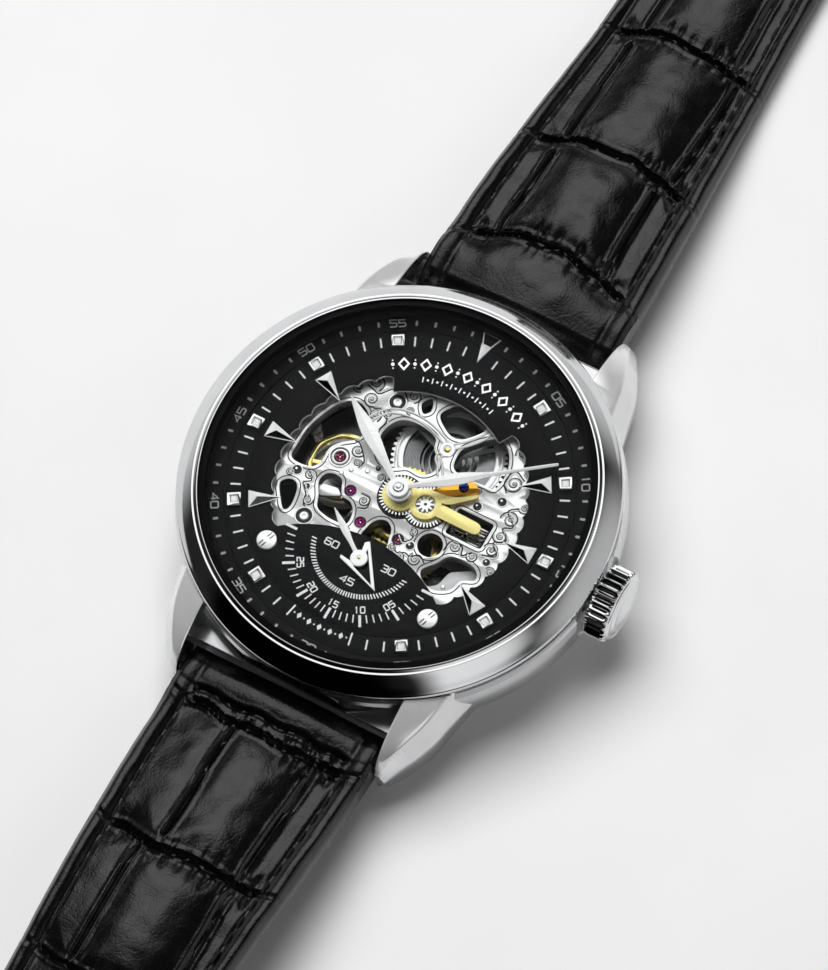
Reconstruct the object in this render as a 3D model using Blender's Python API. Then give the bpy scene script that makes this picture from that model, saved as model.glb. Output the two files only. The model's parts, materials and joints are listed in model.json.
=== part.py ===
"""Automatic skeleton wristwatch on a padded leather strap.

Frame: +Z up out of the dial, +Y towards 12 o'clock, +X towards 3 o'clock (the crown). The origin is the
centre of the case back's underside, on the table. Shape functions take millimetres and measure heights
from the dial's face, which lies DIAL_HEIGHT above the table.
"""

import math

import bmesh
import bpy
from mathutils import Matrix, Vector
from mathutils.geometry import tessellate_polygon

MM = 0.001

# Case, millimetres. Heights are measured from the dial's face.
DIAL_HEIGHT = 9.5
CASE_RADIUS = 22.0
CASE_TOP = -0.1
CASE_BOTTOM = -7.7
BEZEL_RADIUS = 21.65
BEZEL_TOP = 2.65
BACK_FACE = -DIAL_HEIGHT
BACK_GLASS_RADIUS = 14.5
CRYSTAL_RADIUS = 19.5
CRYSTAL_FLOOR = 2.0
DIAL_RADIUS = 18.9
DIAL_THICKNESS = 0.4
LUG_GAP = 22.0
END_FLAT_Y = 21.25
SPRING_BAR_Y = 23.6
SPRING_BAR_Z = -4.2
SPRING_BAR_RADIUS = 0.85

# Crown and stem, on the axis that runs along +X at this height.
STEM_Z = -2.4
STEM_RADIUS = 0.45
CROWN_RADIUS = 3.7
CROWN_START = 21.75
CROWN_END = 25.0
CROWN_FLUTES = 28
TUBE_RADIUS = 1.4

# Movement plan: pivots as (x, y).
MOVEMENT_RADIUS = 12.95
CENTRE = (0.0, 0.0)
THIRD = (1.95, -4.0)
FOURTH = (0.0, -7.9)
ESCAPE = (-2.2, -4.1)
PALLET = (-4.69, -1.64)
BALANCE = (-7.35, 1.0)
BARREL = (1.6, 6.4)
MINUTE_POST = (2.7, 0.2)
REDUCTION = (-2.6, 4.2)
CLICK = (6.35, 8.75)
DIAL_SCREW_X = 8.9
DIAL_SCREW_Y = -10.3

# Tooth counts. Each pair that meshes shares its line of centres in proportion to its teeth.
BARREL_TEETH = 60
CENTRE_PINION_TEETH = 10
CENTRE_TEETH = 48
THIRD_PINION_TEETH = 6
THIRD_TEETH = 45
FOURTH_PINION_TEETH = 6
FOURTH_TEETH = 40
ESCAPE_PINION_TEETH = 6
ESCAPE_TEETH = 15
CANNON_TEETH = 10
MINUTE_TEETH = 40
MINUTE_PINION_TEETH = 12
HOUR_TEETH = 36
ROTOR_PINION_TEETH = 8
REDUCTION_TEETH = 36
REDUCTION_PINION_TEETH = 8
RATCHET_TEETH = 32

# Levels of the movement, as (bottom, top).
PLATE = (-2.6, -1.2)
COVER_LEVEL = (-0.65, -0.45)
HOUR_LEVEL = (-0.9, -0.72)
MINUTE_LEVEL = (-1.12, -0.95)
CENTRE_LEVEL = (-3.2, -2.95)
THIRD_LEVEL = (-3.85, -3.6)
FOURTH_LEVEL = (-4.5, -4.25)
ESCAPE_LEVEL = (-5.15, -4.95)
BARREL_LEVEL = (-5.2, -3.35)
BARREL_TEETH_LEVEL = (-5.0, -4.7)
BALANCE_LEVEL = (-4.0, -3.5)
HAIRSPRING_LEVEL = (-4.55, -4.35)
BRIDGE = (-6.2, -5.5)
RATCHET_LEVEL = (-6.5, -6.3)
REDUCTION_LEVEL = (-6.9, -6.7)
ROTOR_LEVEL = (-7.35, -7.1)

# Hands: clock angles in degrees, lengths in millimetres.
HOUR_ANGLE = 305.7
MINUTE_ANGLE = 53.9
SECONDS_ANGLE = 306.7
HOUR_LENGTH = 11.2
MINUTE_LENGTH = 15.35
SECONDS_LENGTH = 5.9

# Strap. Its widths and thicknesses are read against the distance from the spring bar.
STRAP_WIDTH = 21.6
STRAP_END_WIDTH = 18.0
STRAP_THICKNESS = 4.4
STRAP_THIN = 2.4
STRAP_END_RADIUS = 2.1
STRAP_HOLE_RADIUS = 1.0
STRAP_HOLE_PITCH = 6.5
BUCKLE_LOOP_RADIUS = 1.5
BUCKLE_BAR_RADIUS = 0.7
# Centre lines of the two straps, as (distance from the dial's axis, height above the dial's face).
BUCKLE_SIDE_LINE = [
    (SPRING_BAR_Y, SPRING_BAR_Z), (28.0, -3.95), (36.0, -4.35), (46.0, -5.55), (56.0, -6.8),
    (66.0, -7.15), (78.0, -7.1), (90.0, -7.1), (98.0, -7.85),
]
TAIL_SIDE_LINE = [
    (SPRING_BAR_Y, SPRING_BAR_Z), (28.0, -3.6), (37.0, -1.9), (46.0, -0.4), (56.0, 0.2), (68.0, -0.7),
    (82.0, -3.6), (96.0, -6.9), (108.0, -8.15), (122.0, -8.2), (137.0, -8.2),
]

RING_SEGMENTS = 40
SMALL_SEGMENTS = 14


# ---------------------------------------------------------------- materials

def principled(name, colour, metallic, roughness, transmission=0.0):
    material = bpy.data.materials.new(name)
    material.use_nodes = True
    shader = material.node_tree.nodes["Principled BSDF"]
    shader.inputs["Base Color"].default_value = (*colour, 1.0)
    shader.inputs["Metallic"].default_value = metallic
    shader.inputs["Roughness"].default_value = roughness
    shader.inputs["Transmission Weight"].default_value = transmission
    return material


def make_materials():
    return {
        "steel_polished": principled("steel_polished", (0.78, 0.78, 0.79), 1.0, 0.12),
        "steel_brushed": principled("steel_brushed", (0.62, 0.62, 0.63), 1.0, 0.35),
        "nickel": principled("nickel", (0.74, 0.74, 0.73), 1.0, 0.28),
        "steel_dark": principled("steel_dark", (0.16, 0.16, 0.17), 1.0, 0.3),
        "gilt": principled("gilt", (0.86, 0.72, 0.38), 1.0, 0.25),
        "amber": principled("amber", (0.75, 0.38, 0.06), 1.0, 0.25),
        "dial_black": principled("dial_black", (0.012, 0.012, 0.013), 0.0, 0.35),
        "holder_black": principled("holder_black", (0.02, 0.02, 0.02), 0.0, 0.5),
        "rubber": principled("rubber", (0.015, 0.015, 0.015), 0.0, 0.6),
        "glass": principled("glass", (1.0, 1.0, 1.0), 0.0, 0.02, 1.0),
        "ruby": principled("ruby", (0.45, 0.02, 0.12), 0.0, 0.1),
        "leather": principled("leather", (0.02, 0.02, 0.021), 0.0, 0.4),
    }


# ---------------------------------------------------------------- outlines, in the plane of the dial

def polar(radius, degrees, centre=(0.0, 0.0)):
    angle = math.radians(degrees)
    return (centre[0] + radius * math.cos(angle), centre[1] + radius * math.sin(angle))


def arc(radius, start, end, count, centre=(0.0, 0.0)):
    """Points from angle start to angle end, in degrees counter-clockwise from +X, both ends included."""
    step = (end - start) / (count - 1)
    return [polar(radius, start + step * i, centre) for i in range(count)]


def circle(radius, centre=(0.0, 0.0), count=SMALL_SEGMENTS):
    return [polar(radius, 360.0 * i / count, centre) for i in range(count)]


def smooth_loop(points, cuts=2):
    """Closed Catmull-Rom curve through the points."""
    count = len(points)
    result = []
    for i in range(count):
        p0, p1, p2, p3 = (Vector(points[(i + k - 1) % count]) for k in range(4))
        for j in range(cuts):
            t = j / cuts
            point = 0.5 * (2.0 * p1 + (p2 - p0) * t + (2.0 * p0 - 5.0 * p1 + 4.0 * p2 - p3) * t * t
                           + (3.0 * p1 - p0 - 3.0 * p2 + p3) * t ** 3)
            result.append((point.x, point.y))
    return result


def direction(start, end):
    """Angle of the line from start to end, in degrees counter-clockwise from +X."""
    return math.degrees(math.atan2(end[1] - start[1], end[0] - start[0]))


def distance(start, end):
    return math.hypot(end[0] - start[0], end[1] - start[1])


def pitch_radius(teeth, mate_teeth, centre_distance):
    return centre_distance * teeth / (teeth + mate_teeth)


def gear(teeth, radius, centre, tooth_at, fine=True):
    """Outline of a gear with one tooth pointing along the angle tooth_at.

    Fine teeth are plain wedges. The leaves of a pinion have flat tips.
    """
    module = 2.0 * radius / teeth
    tip = radius + 0.62 * module
    root = radius - 1.05 * module
    pitch = 360.0 / teeth
    points = []
    for i in range(teeth):
        angle = tooth_at + pitch * i
        points.append(polar(root, angle - (0.5 if fine else 0.3) * pitch, centre))
        if fine:
            points.append(polar(tip, angle, centre))
        else:
            points.append(polar(tip, angle - 0.1 * pitch, centre))
            points.append(polar(tip, angle + 0.1 * pitch, centre))
            points.append(polar(root, angle + 0.3 * pitch, centre))
    return points


def spoke_windows(count, inner, outer, rib, centre, start=0.0, steps=5):
    """Openings between the spokes of a wheel. rib is a spoke's width in millimetres."""
    windows = []
    for i in range(count):
        low = start + 360.0 * i / count
        high = start + 360.0 * (i + 1) / count
        outer_cut = math.degrees(rib / 2.0 / outer)
        inner_cut = math.degrees(rib / 2.0 / inner)
        window = arc(outer, low + outer_cut, high - outer_cut, steps, centre)
        window += arc(inner, high - inner_cut, low + inner_cut, 3, centre)
        windows.append(window)
    return windows


# ---------------------------------------------------------------- solids

def solid(vertices, faces):
    """Object from vertices in millimetres, with heights from the dial's face and faces turned outwards."""
    mesh = bpy.data.meshes.new("solid")
    mesh.from_pydata([(x * MM, y * MM, (z + DIAL_HEIGHT) * MM) for x, y, z in vertices], [], faces)
    work = bmesh.new()
    work.from_mesh(mesh)
    bmesh.ops.recalc_face_normals(work, faces=work.faces)
    work.to_mesh(mesh)
    work.free()
    result = bpy.data.objects.new("solid", mesh)
    bpy.context.scene.collection.objects.link(result)
    return result


def prism(outlines, bottom, top):
    """Upright plate. The first outline is its edge and the others are holes."""
    flat = [point for outline in outlines for point in outline]
    count = len(flat)
    vertices = [(x, y, bottom) for x, y in flat] + [(x, y, top) for x, y in flat]
    faces = []
    loops = [[Vector((x, y, 0.0)) for x, y in outline] for outline in outlines]
    for a, b, c in tessellate_polygon(loops):
        faces.append((a, b, c))
        faces.append((a + count, b + count, c + count))
    first = 0
    for outline in outlines:
        size = len(outline)
        for i in range(size):
            a = first + i
            b = first + (i + 1) % size
            faces.append((a, b, b + count, a + count))
        first += size
    return solid(vertices, faces)


def turned(profile, centre=(0.0, 0.0), segments=RING_SEGMENTS, along_x=False):
    """Body of revolution. profile holds (radius, height) pairs, or (radius, x) about the stem's axis.

    A profile that starts and ends at radius 0 makes a full body, and any other makes a ring.
    """
    rows = []
    vertices = []
    for radius, height in profile:
        spots = 1 if radius == 0.0 else segments
        row = []
        for i in range(spots):
            angle = 2.0 * math.pi * i / segments
            across = radius * math.cos(angle)
            up = radius * math.sin(angle)
            row.append(len(vertices))
            if along_x:
                vertices.append((height, across, STEM_Z + up))
            else:
                vertices.append((centre[0] + across, centre[1] + up, height))
        rows.append(row)
    full = profile[0][0] == 0.0
    faces = []
    for k in range(len(rows) - 1 if full else len(rows)):
        low = rows[k]
        high = rows[(k + 1) % len(rows)]
        for i in range(segments):
            j = (i + 1) % segments
            corners = [low[i % len(low)], low[j % len(low)], high[j % len(high)], high[i % len(high)]]
            unique = list(dict.fromkeys(corners))
            if len(unique) > 2:
                faces.append(unique)
    return solid(vertices, faces)


def rod(radius, bottom, top, centre, segments=12):
    return turned([(0.0, bottom), (radius, bottom), (radius, top), (0.0, top)], centre, segments)


def rod_x(radius, start, end, y, z, segments=16):
    """Rod along +X through (y, z)."""
    vertices = []
    for x in (start, end):
        for i in range(segments):
            across, up = polar(radius, 360.0 * i / segments)
            vertices.append((x, y + across, z + up))
    faces = [(i, (i + 1) % segments, (i + 1) % segments + segments, i + segments) for i in range(segments)]
    faces.append(tuple(range(segments)))
    faces.append(tuple(range(segments, 2 * segments)))
    return solid(vertices, faces)


def box(low, high):
    corners = [(x, y, z) for x in (low[0], high[0]) for y in (low[1], high[1]) for z in (low[2], high[2])]
    faces = [(0, 1, 3, 2), (4, 6, 7, 5), (0, 4, 5, 1), (2, 3, 7, 6), (0, 2, 6, 4), (1, 5, 7, 3)]
    return solid(corners, faces)


def loft(sections, closed=False):
    """Skin over sections with equal numbers of points."""
    size = len(sections[0])
    vertices = [point for section in sections for point in section]
    faces = []
    for k in range(len(sections) if closed else len(sections) - 1):
        low = k * size
        high = (k + 1) % len(sections) * size
        for i in range(size):
            j = (i + 1) % size
            faces.append((low + i, low + j, high + j, high + i))
    if not closed:
        faces.append(tuple(range(size)))
        faces.append(tuple(range((len(sections) - 1) * size, len(sections) * size)))
    return solid(vertices, faces)


def combine(base, others, operation):
    """Boolean of base with each of the others, which are used up."""
    for other in others:
        modifier = base.modifiers.new("combine", 'BOOLEAN')
        modifier.operation = operation
        modifier.solver = 'EXACT'
        modifier.object = other
        bpy.context.view_layer.update()
        depsgraph = bpy.context.evaluated_depsgraph_get()
        merged = bpy.data.meshes.new_from_object(base.evaluated_get(depsgraph))
        base.modifiers.clear()
        base.data = merged
        bpy.data.objects.remove(other)
    merge_flat_faces(base.data)
    return base


def merge_flat_faces(mesh):
    """Join the slivers that a Boolean leaves in flat faces."""
    work = bmesh.new()
    work.from_mesh(mesh)
    bmesh.ops.dissolve_limit(work, angle_limit=math.radians(0.05), verts=work.verts, edges=work.edges)
    work.to_mesh(mesh)
    work.free()


def union(base, *others):
    return combine(base, others, 'UNION')


def cut(base, *others):
    return combine(base, others, 'DIFFERENCE')


def keep(piece, name, material, pivot=(0.0, 0.0, -DIAL_HEIGHT)):
    """Name a finished piece, give it its material and put its origin on its pivot."""
    piece.name = name
    piece.data.name = name
    origin = Vector((pivot[0], pivot[1], pivot[2] + DIAL_HEIGHT)) * MM
    piece.data.transform(Matrix.Translation(-origin))
    piece.location = origin
    piece.data.materials.clear()
    piece.data.materials.append(MATERIALS[material])
    piece.data.shade_smooth()
    piece.data.set_sharp_from_angle(angle=math.radians(32.0))
    return piece


# ---------------------------------------------------------------- case

def lug(side_x, side_y):
    """One lug, lofted outwards from inside the case to its tip."""
    # Distance along y, inner top, ridge x and z, flank x and z, underside.
    stations = [
        (13.0, 0.9, 14.8, 0.3, 16.6, -3.0, -6.6),
        (16.0, 0.9, 14.5, 0.3, 15.9, -3.0, -7.0),
        (18.0, 0.8, 14.2, 0.2, 15.4, -3.0, -7.4),
        (20.0, 0.4, 13.7, -0.2, 14.9, -3.2, -7.9),
        (22.0, -0.3, 12.9, -0.8, 14.0, -3.6, -8.3),
        (23.5, -1.2, 12.2, -1.6, 13.1, -4.1, -8.5),
        (24.6, -2.4, 11.7, -2.8, 12.4, -4.8, -8.3),
        (25.2, -4.0, 11.5, -4.3, 12.0, -5.4, -7.2),
    ]
    inner = LUG_GAP / 2.0
    sections = []
    for y, top, ridge_x, ridge_z, flank_x, flank_z, under in stations:
        outline = [
            (inner, under), (inner, top), (ridge_x, ridge_z), (flank_x, flank_z),
            (flank_x - 0.4, under + 0.7),
        ]
        sections.append([(side_x * x, side_y * y, z) for x, z in outline])
    return loft(sections)


def case_band():
    band = turned([
        (0.0, CASE_TOP), (21.2, CASE_TOP), (21.9, -0.7), (CASE_RADIUS, -2.5), (21.7, -5.0), (20.8, -6.9),
        (19.6, CASE_BOTTOM), (0.0, CASE_BOTTOM),
    ])
    lugs = [lug(side_x, side_y) for side_x in (-1.0, 1.0) for side_y in (-1.0, 1.0)]
    half_gap = LUG_GAP / 2.0 + 0.5
    shelves = [
        box((-half_gap, 14.0, -7.0), (half_gap, END_FLAT_Y + 0.5, -3.2)),
        box((-half_gap, -END_FLAT_Y - 0.5, -7.0), (half_gap, -14.0, -3.2)),
    ]
    union(band, *lugs, *shelves)
    seat = turned([
        (0.0, 3.0), (21.8, 3.0), (21.8, CASE_TOP), (19.1, CASE_TOP), (19.1, -0.45), (17.3, -0.45),
        (17.3, -7.02), (18.2, -7.02), (18.2, -8.0), (0.0, -8.0),
    ])
    flat_ends = [
        box((-LUG_GAP / 2.0, END_FLAT_Y, -9.0), (LUG_GAP / 2.0, 30.0, 3.0)),
        box((-LUG_GAP / 2.0, -30.0, -9.0), (LUG_GAP / 2.0, -END_FLAT_Y, 3.0)),
    ]
    bar_holes = [rod_x(0.5, -12.2, 12.2, side * SPRING_BAR_Y, SPRING_BAR_Z, 10) for side in (-1.0, 1.0)]
    tube_hole = rod_x(TUBE_RADIUS + 0.05, 16.0, 24.0, 0.0, STEM_Z)
    crown_recess = rod_x(CROWN_RADIUS + 0.5, 21.3, 26.0, 0.0, STEM_Z, 32)
    cut(band, seat, *flat_ends, *bar_holes, tube_hole, crown_recess)
    keep(band, "case_band", "steel_brushed")


def case_rings():
    keep(turned([
        (19.45, 0.0), (19.45, 1.85), (19.9, 1.85), (19.9, 2.55), (20.2, BEZEL_TOP), (20.9, 2.45),
        (21.45, 1.9), (BEZEL_RADIUS, 1.1), (21.3, 0.0),
    ]), "bezel", "steel_polished")
    keep(turned([
        (0.0, CRYSTAL_FLOOR), (CRYSTAL_RADIUS, CRYSTAL_FLOOR), (CRYSTAL_RADIUS, 2.7), (19.1, 3.05),
        (12.0, 3.3), (0.0, 3.4),
    ]), "crystal", "glass")
    keep(turned([(19.55, 1.95), (19.85, 1.95), (19.85, 2.6), (19.55, 2.6)]),
         "crystal_gasket", "rubber")
    keep(turned([(18.55, 0.08), (19.35, 0.08), (19.35, 1.85), (19.15, 1.85)]), "rehaut", "dial_black")
    ring = turned([(13.05, -7.0), (17.2, -7.0), (17.2, -0.45), (13.05, -0.45)])
    screw_holes = [rod(0.5, -1.5, 0.0, (side * DIAL_SCREW_X, DIAL_SCREW_Y)) for side in (-1.0, 1.0)]
    keep(cut(ring, rod_x(0.7, 12.0, 19.0, 0.0, STEM_Z, 12), *screw_holes), "movement_ring", "holder_black")
    keep(turned([
        (14.55, BACK_FACE), (18.6, BACK_FACE), (19.4, -9.0), (19.4, -7.8), (19.0, -7.8), (19.0, -8.05),
        (18.1, -8.05), (18.1, -7.07), (15.5, -7.07), (15.5, -8.1), (13.9, -8.1), (13.9, -8.35),
        (14.55, -8.35),
    ]), "case_back", "steel_brushed")
    keep(turned([(0.0, BACK_FACE), (BACK_GLASS_RADIUS, BACK_FACE), (BACK_GLASS_RADIUS, -8.4), (0.0, -8.4)]),
         "back_glass", "glass")
    keep(turned([(18.2, -8.0), (18.9, -8.0), (18.9, -7.78), (18.2, -7.78)]),
         "back_gasket", "rubber")


def crown_group():
    keep(turned([(0.75, 17.25), (TUBE_RADIUS, 17.25), (TUBE_RADIUS, 23.1), (0.75, 23.1)],
                segments=SMALL_SEGMENTS, along_x=True), "crown_tube", "steel_brushed")
    axis = (CROWN_START, 0.0, STEM_Z)
    seal = [(1.45, 22.2), (1.9, 22.2), (1.9, 22.6), (1.45, 22.6)]
    keep(turned(seal, segments=SMALL_SEGMENTS, along_x=True), "crown_gasket", "rubber", axis)
    # Two spots to a flute: crest and root alternate round the body.
    spots = 2 * CROWN_FLUTES
    start = CROWN_START
    stations = [(start, 3.3, 0.0), (start + 0.3, CROWN_RADIUS, 0.22), (start + 2.2, CROWN_RADIUS, 0.22),
                (start + 2.5, 3.4, 0.0), (start + 3.05, 2.2, 0.0), (CROWN_END, 0.6, 0.0)]
    sections = []
    for x, radius, depth in stations:
        section = []
        for i in range(spots):
            across, up = polar(radius - depth * (i % 2), 360.0 * i / spots)
            section.append((x, across, STEM_Z + up))
        sections.append(section)
    crown = loft(sections)
    cut(crown, turned([(0.0, start - 1.0), (1.95, start - 1.0), (1.95, start + 1.75), (0.0, start + 1.75)],
                      segments=SMALL_SEGMENTS, along_x=True),
        rod_x(0.5, start, start + 2.6, 0.0, STEM_Z, 12))
    keep(crown, "crown", "steel_polished", axis)
    stem = turned([(0.0, 5.0), (STEM_RADIUS, 5.0), (STEM_RADIUS, start + 2.5), (0.0, start + 2.5)],
                  segments=12, along_x=True)
    keep(stem, "winding_stem", "steel_polished", axis)


def keyless_works():
    """Pinions on the stem, seen through the plate's slot, and the lever that the stem shifts."""
    for name, start, end, teeth in (("clutch_wheel", 5.75, 7.2, 10), ("winding_pinion", 7.6, 9.2, 16)):
        outline = gear(teeth, 1.0, (0.0, 0.0), 0.0, fine=False)
        sections = [[(x, across, STEM_Z + up) for across, up in outline] for x in (start, end)]
        wheel = cut(loft(sections), rod_x(STEM_RADIUS + 0.08, start - 1.0, end + 1.0, 0.0, STEM_Z, 12))
        keep(wheel, name, "steel_dark", (start, 0.0, STEM_Z))
    lever = smooth_loop([(4.7, 2.3), (5.3, 2.45), (6.4, 3.1), (6.75, 3.9), (6.1, 4.3), (5.2, 3.95),
                         (4.6, 3.1)])
    keep(prism([lever], -1.12, -0.8), "setting_lever", "amber", (5.1, 3.4, -1.0))


# ---------------------------------------------------------------- dial and hands

def opening_outline():
    """Edge of the dial's opening: wavy sides, a tab at the top and the seconds dial's arc at the bottom."""
    corner = 43.8
    tab_left = 122.0
    tab_right = 57.0

    def wavy(start, end, count):
        points = []
        for i in range(count):
            share = i / (count - 1)
            ripple = 0.22 * abs(math.sin(share * math.pi * 7.0))
            points.append(polar(12.55 - ripple, start + (end - start) * share))
        return points

    outline = wavy(-corner, tab_right, 29)
    outline += arc(10.8, tab_right - 0.5, tab_left + 0.5, 10)
    outline += wavy(tab_left, 180.0 + corner, 29)
    outline += arc(14.5, 128.2, 51.8, 10, (0.0, -20.0))
    return outline


def dial_group():
    spots = [(side * DIAL_SCREW_X, DIAL_SCREW_Y) for side in (-1.0, 1.0)]
    screw_holes = [circle(0.5, spot, 12) for spot in spots]
    dial = prism([circle(DIAL_RADIUS, count=RING_SEGMENTS), opening_outline(), circle(0.3, FOURTH, 10),
                  *screw_holes], -DIAL_THICKNESS, 0.0)
    keep(dial, "dial", "dial_black")
    for name, spot in zip(("dial_screw_left", "dial_screw_right"), spots):
        profile = [(0.0, -1.1), (0.4, -1.1), (0.4, 0.05), (1.0, 0.05), (1.0, 0.35), (0.0, 0.42)]
        screw = turned(profile, spot, 20)
        slot = box((spot[0] - 0.14, spot[1] - 1.2, 0.22), (spot[0] + 0.14, spot[1] + 1.2, 0.6))
        keep(cut(screw, slot), name, "steel_polished")


def clock_direction(angle):
    """Unit vector from the dial's centre towards a clock angle, in degrees from 12 o'clock."""
    return Vector((math.sin(math.radians(angle)), math.cos(math.radians(angle))))


def lance(angle, length, widths, floor, height, centre=CENTRE, start=0.0):
    """Roofed blade from a pivot along a clock angle. widths holds (share of length, full width) pairs."""
    along = clock_direction(angle)
    across = Vector((along.y, -along.x))
    sections = []
    for share, width in widths:
        spot = Vector(centre) + along * (start + (length - start) * share)
        half = width / 2.0
        rise = height * (0.35 + 0.65 * min(1.0, width / 1.0))
        outline = [(-half, 0.0), (half, 0.0), (half, 0.3 * rise), (0.0, rise), (-half, 0.3 * rise)]
        sections.append([((spot + across * u).x, (spot + across * u).y, floor + v) for u, v in outline])
    return loft(sections)


def hands():
    hour_widths = [(0.0, 0.5), (0.25, 0.75), (0.6, 1.5), (0.85, 0.75), (1.0, 0.1)]
    hour = union(lance(HOUR_ANGLE, HOUR_LENGTH, hour_widths, 0.6, 0.26), rod(1.25, 0.57, 0.82, CENTRE, 20))
    keep(cut(hour, rod(0.88, 0.0, 1.5, CENTRE, SMALL_SEGMENTS)), "hour_hand", "steel_polished")
    minute_widths = [(0.0, 0.45), (0.14, 0.55), (0.36, 1.25), (0.62, 0.4), (0.98, 0.3), (1.0, 0.1)]
    minute = union(lance(MINUTE_ANGLE, MINUTE_LENGTH, minute_widths, 1.05, 0.26),
                   rod(1.0, 1.02, 1.28, CENTRE, 20))
    keep(cut(minute, rod(0.55, 0.5, 2.0, CENTRE, SMALL_SEGMENTS)), "minute_hand", "steel_polished")
    seconds_widths = [(0.0, 0.5), (0.3, 0.42), (0.62, 0.7), (1.0, 0.1)]
    seconds = lance(SECONDS_ANGLE, SECONDS_LENGTH, seconds_widths, 0.2, 0.2, FOURTH)
    tail = Vector(FOURTH) - clock_direction(SECONDS_ANGLE) * 3.8
    outer = [tuple(tail), (FOURTH[0] + 0.1, FOURTH[1] + 2.0), (FOURTH[0] - 0.3, FOURTH[1] + 1.7),
             (FOURTH[0] - 0.1, FOURTH[1] + 0.5), (FOURTH[0] - 0.6, FOURTH[1] - 0.6),
             (FOURTH[0] - 1.75, FOURTH[1] - 0.45), (FOURTH[0] - 1.7, FOURTH[1] - 0.75)]
    window = [(FOURTH[0] + 2.4, FOURTH[1] - 1.9), (FOURTH[0] + 0.3, FOURTH[1] + 1.2),
              (FOURTH[0] + 0.35, FOURTH[1] - 0.3), (FOURTH[0] - 0.1, FOURTH[1] - 0.95)]
    union(seconds, prism([outer, window], 0.21, 0.36), rod(0.8, 0.22, 0.42, FOURTH, 20))
    keep(cut(seconds, rod(0.2, 0.0, 1.0, FOURTH, 10)), "seconds_hand", "steel_polished", (*FOURTH, 0.0))


def bar(start, end, width, bottom, top):
    """Flat bar between two points of the plan."""
    along = Vector((end[0] - start[0], end[1] - start[1])).normalized()
    across = Vector((-along.y, along.x)) * (width / 2.0)
    first = Vector(start)
    last = Vector(end)
    corners = [first + across, first - across, last - across, last + across]
    return prism([[(corner.x, corner.y) for corner in corners]], bottom, top)


# ---------------------------------------------------------------- motion work

def motion_work():
    cannon_radius = pitch_radius(CANNON_TEETH, MINUTE_TEETH, distance(CENTRE, MINUTE_POST))
    minute_radius = distance(CENTRE, MINUTE_POST) - cannon_radius
    pinion_radius = pitch_radius(MINUTE_PINION_TEETH, HOUR_TEETH, distance(CENTRE, MINUTE_POST))
    hour_radius = distance(CENTRE, MINUTE_POST) - pinion_radius
    towards_post = direction(CENTRE, MINUTE_POST)
    bottom, top = MINUTE_LEVEL

    cannon = union(prism([gear(CANNON_TEETH, cannon_radius, CENTRE, towards_post, fine=False)], bottom, top),
                   rod(0.42, bottom + 0.02, 1.35, CENTRE, 12))
    keep(cut(cannon, rod(0.28, -2.0, -0.2, CENTRE)), "cannon_pinion", "steel_polished")

    gap = 180.0 / MINUTE_TEETH
    wheel = prism([gear(MINUTE_TEETH, minute_radius, MINUTE_POST, towards_post + 180.0 + gap),
                   *spoke_windows(4, 0.95, 1.7, 0.35, MINUTE_POST, steps=3)], bottom, top)
    pinion = prism([gear(MINUTE_PINION_TEETH, pinion_radius, MINUTE_POST, towards_post + 180.0, fine=False)],
                   top - 0.02, -0.5)
    keep(cut(union(wheel, pinion), rod(0.3, -2.0, 0.0, MINUTE_POST)), "minute_wheel", "nickel",
         (*MINUTE_POST, 0.0))

    gap = 180.0 / HOUR_TEETH
    wheel = prism([gear(HOUR_TEETH, hour_radius, CENTRE, towards_post + gap)], *HOUR_LEVEL)
    pipe = rod(0.8, HOUR_LEVEL[0], 0.85, CENTRE, SMALL_SEGMENTS)
    keep(cut(union(wheel, pipe), rod(0.6, -2.0, 2.0, CENTRE, SMALL_SEGMENTS)), "hour_wheel", "nickel")


def motion_cover():
    """Gilt cover: a ring round the centre, a blob over the minute wheel and a bar over the stem's pinions."""
    bottom, top = COVER_LEVEL
    ring = prism([circle(2.2, CENTRE, 24), circle(1.7, CENTRE, 20)], bottom, top)
    blob = rod(1.45, bottom + 0.01, top - 0.01, MINUTE_POST, 20)
    end = (8.4, MINUTE_POST[1])
    neck = bar((MINUTE_POST[0] + 1.2, end[1]), end, 1.2, bottom + 0.02, top - 0.02)
    nose = rod(0.6, bottom + 0.03, top - 0.03, end, 14)
    arm = prism([smooth_loop([(2.1, 1.25), (3.6, 1.2), (4.9, 0.7), (4.6, 1.5), (3.9, 2.1), (2.6, 1.75),
                              (1.1, 1.75), (1.2, 1.3)])], bottom + 0.04, top - 0.04)
    foot = rod(0.25, PLATE[1] + 0.05, top - 0.05, (5.27, end[1]))
    clear = rod(1.68, -1.0, 0.0, CENTRE, 20)
    cover = cut(union(ring, blob, neck, nose, arm, foot), clear, rod(0.95, -1.5, 0.0, MINUTE_POST, 16))
    keep(cover, "motion_cover", "gilt")


# ---------------------------------------------------------------- plate and bridges

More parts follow.
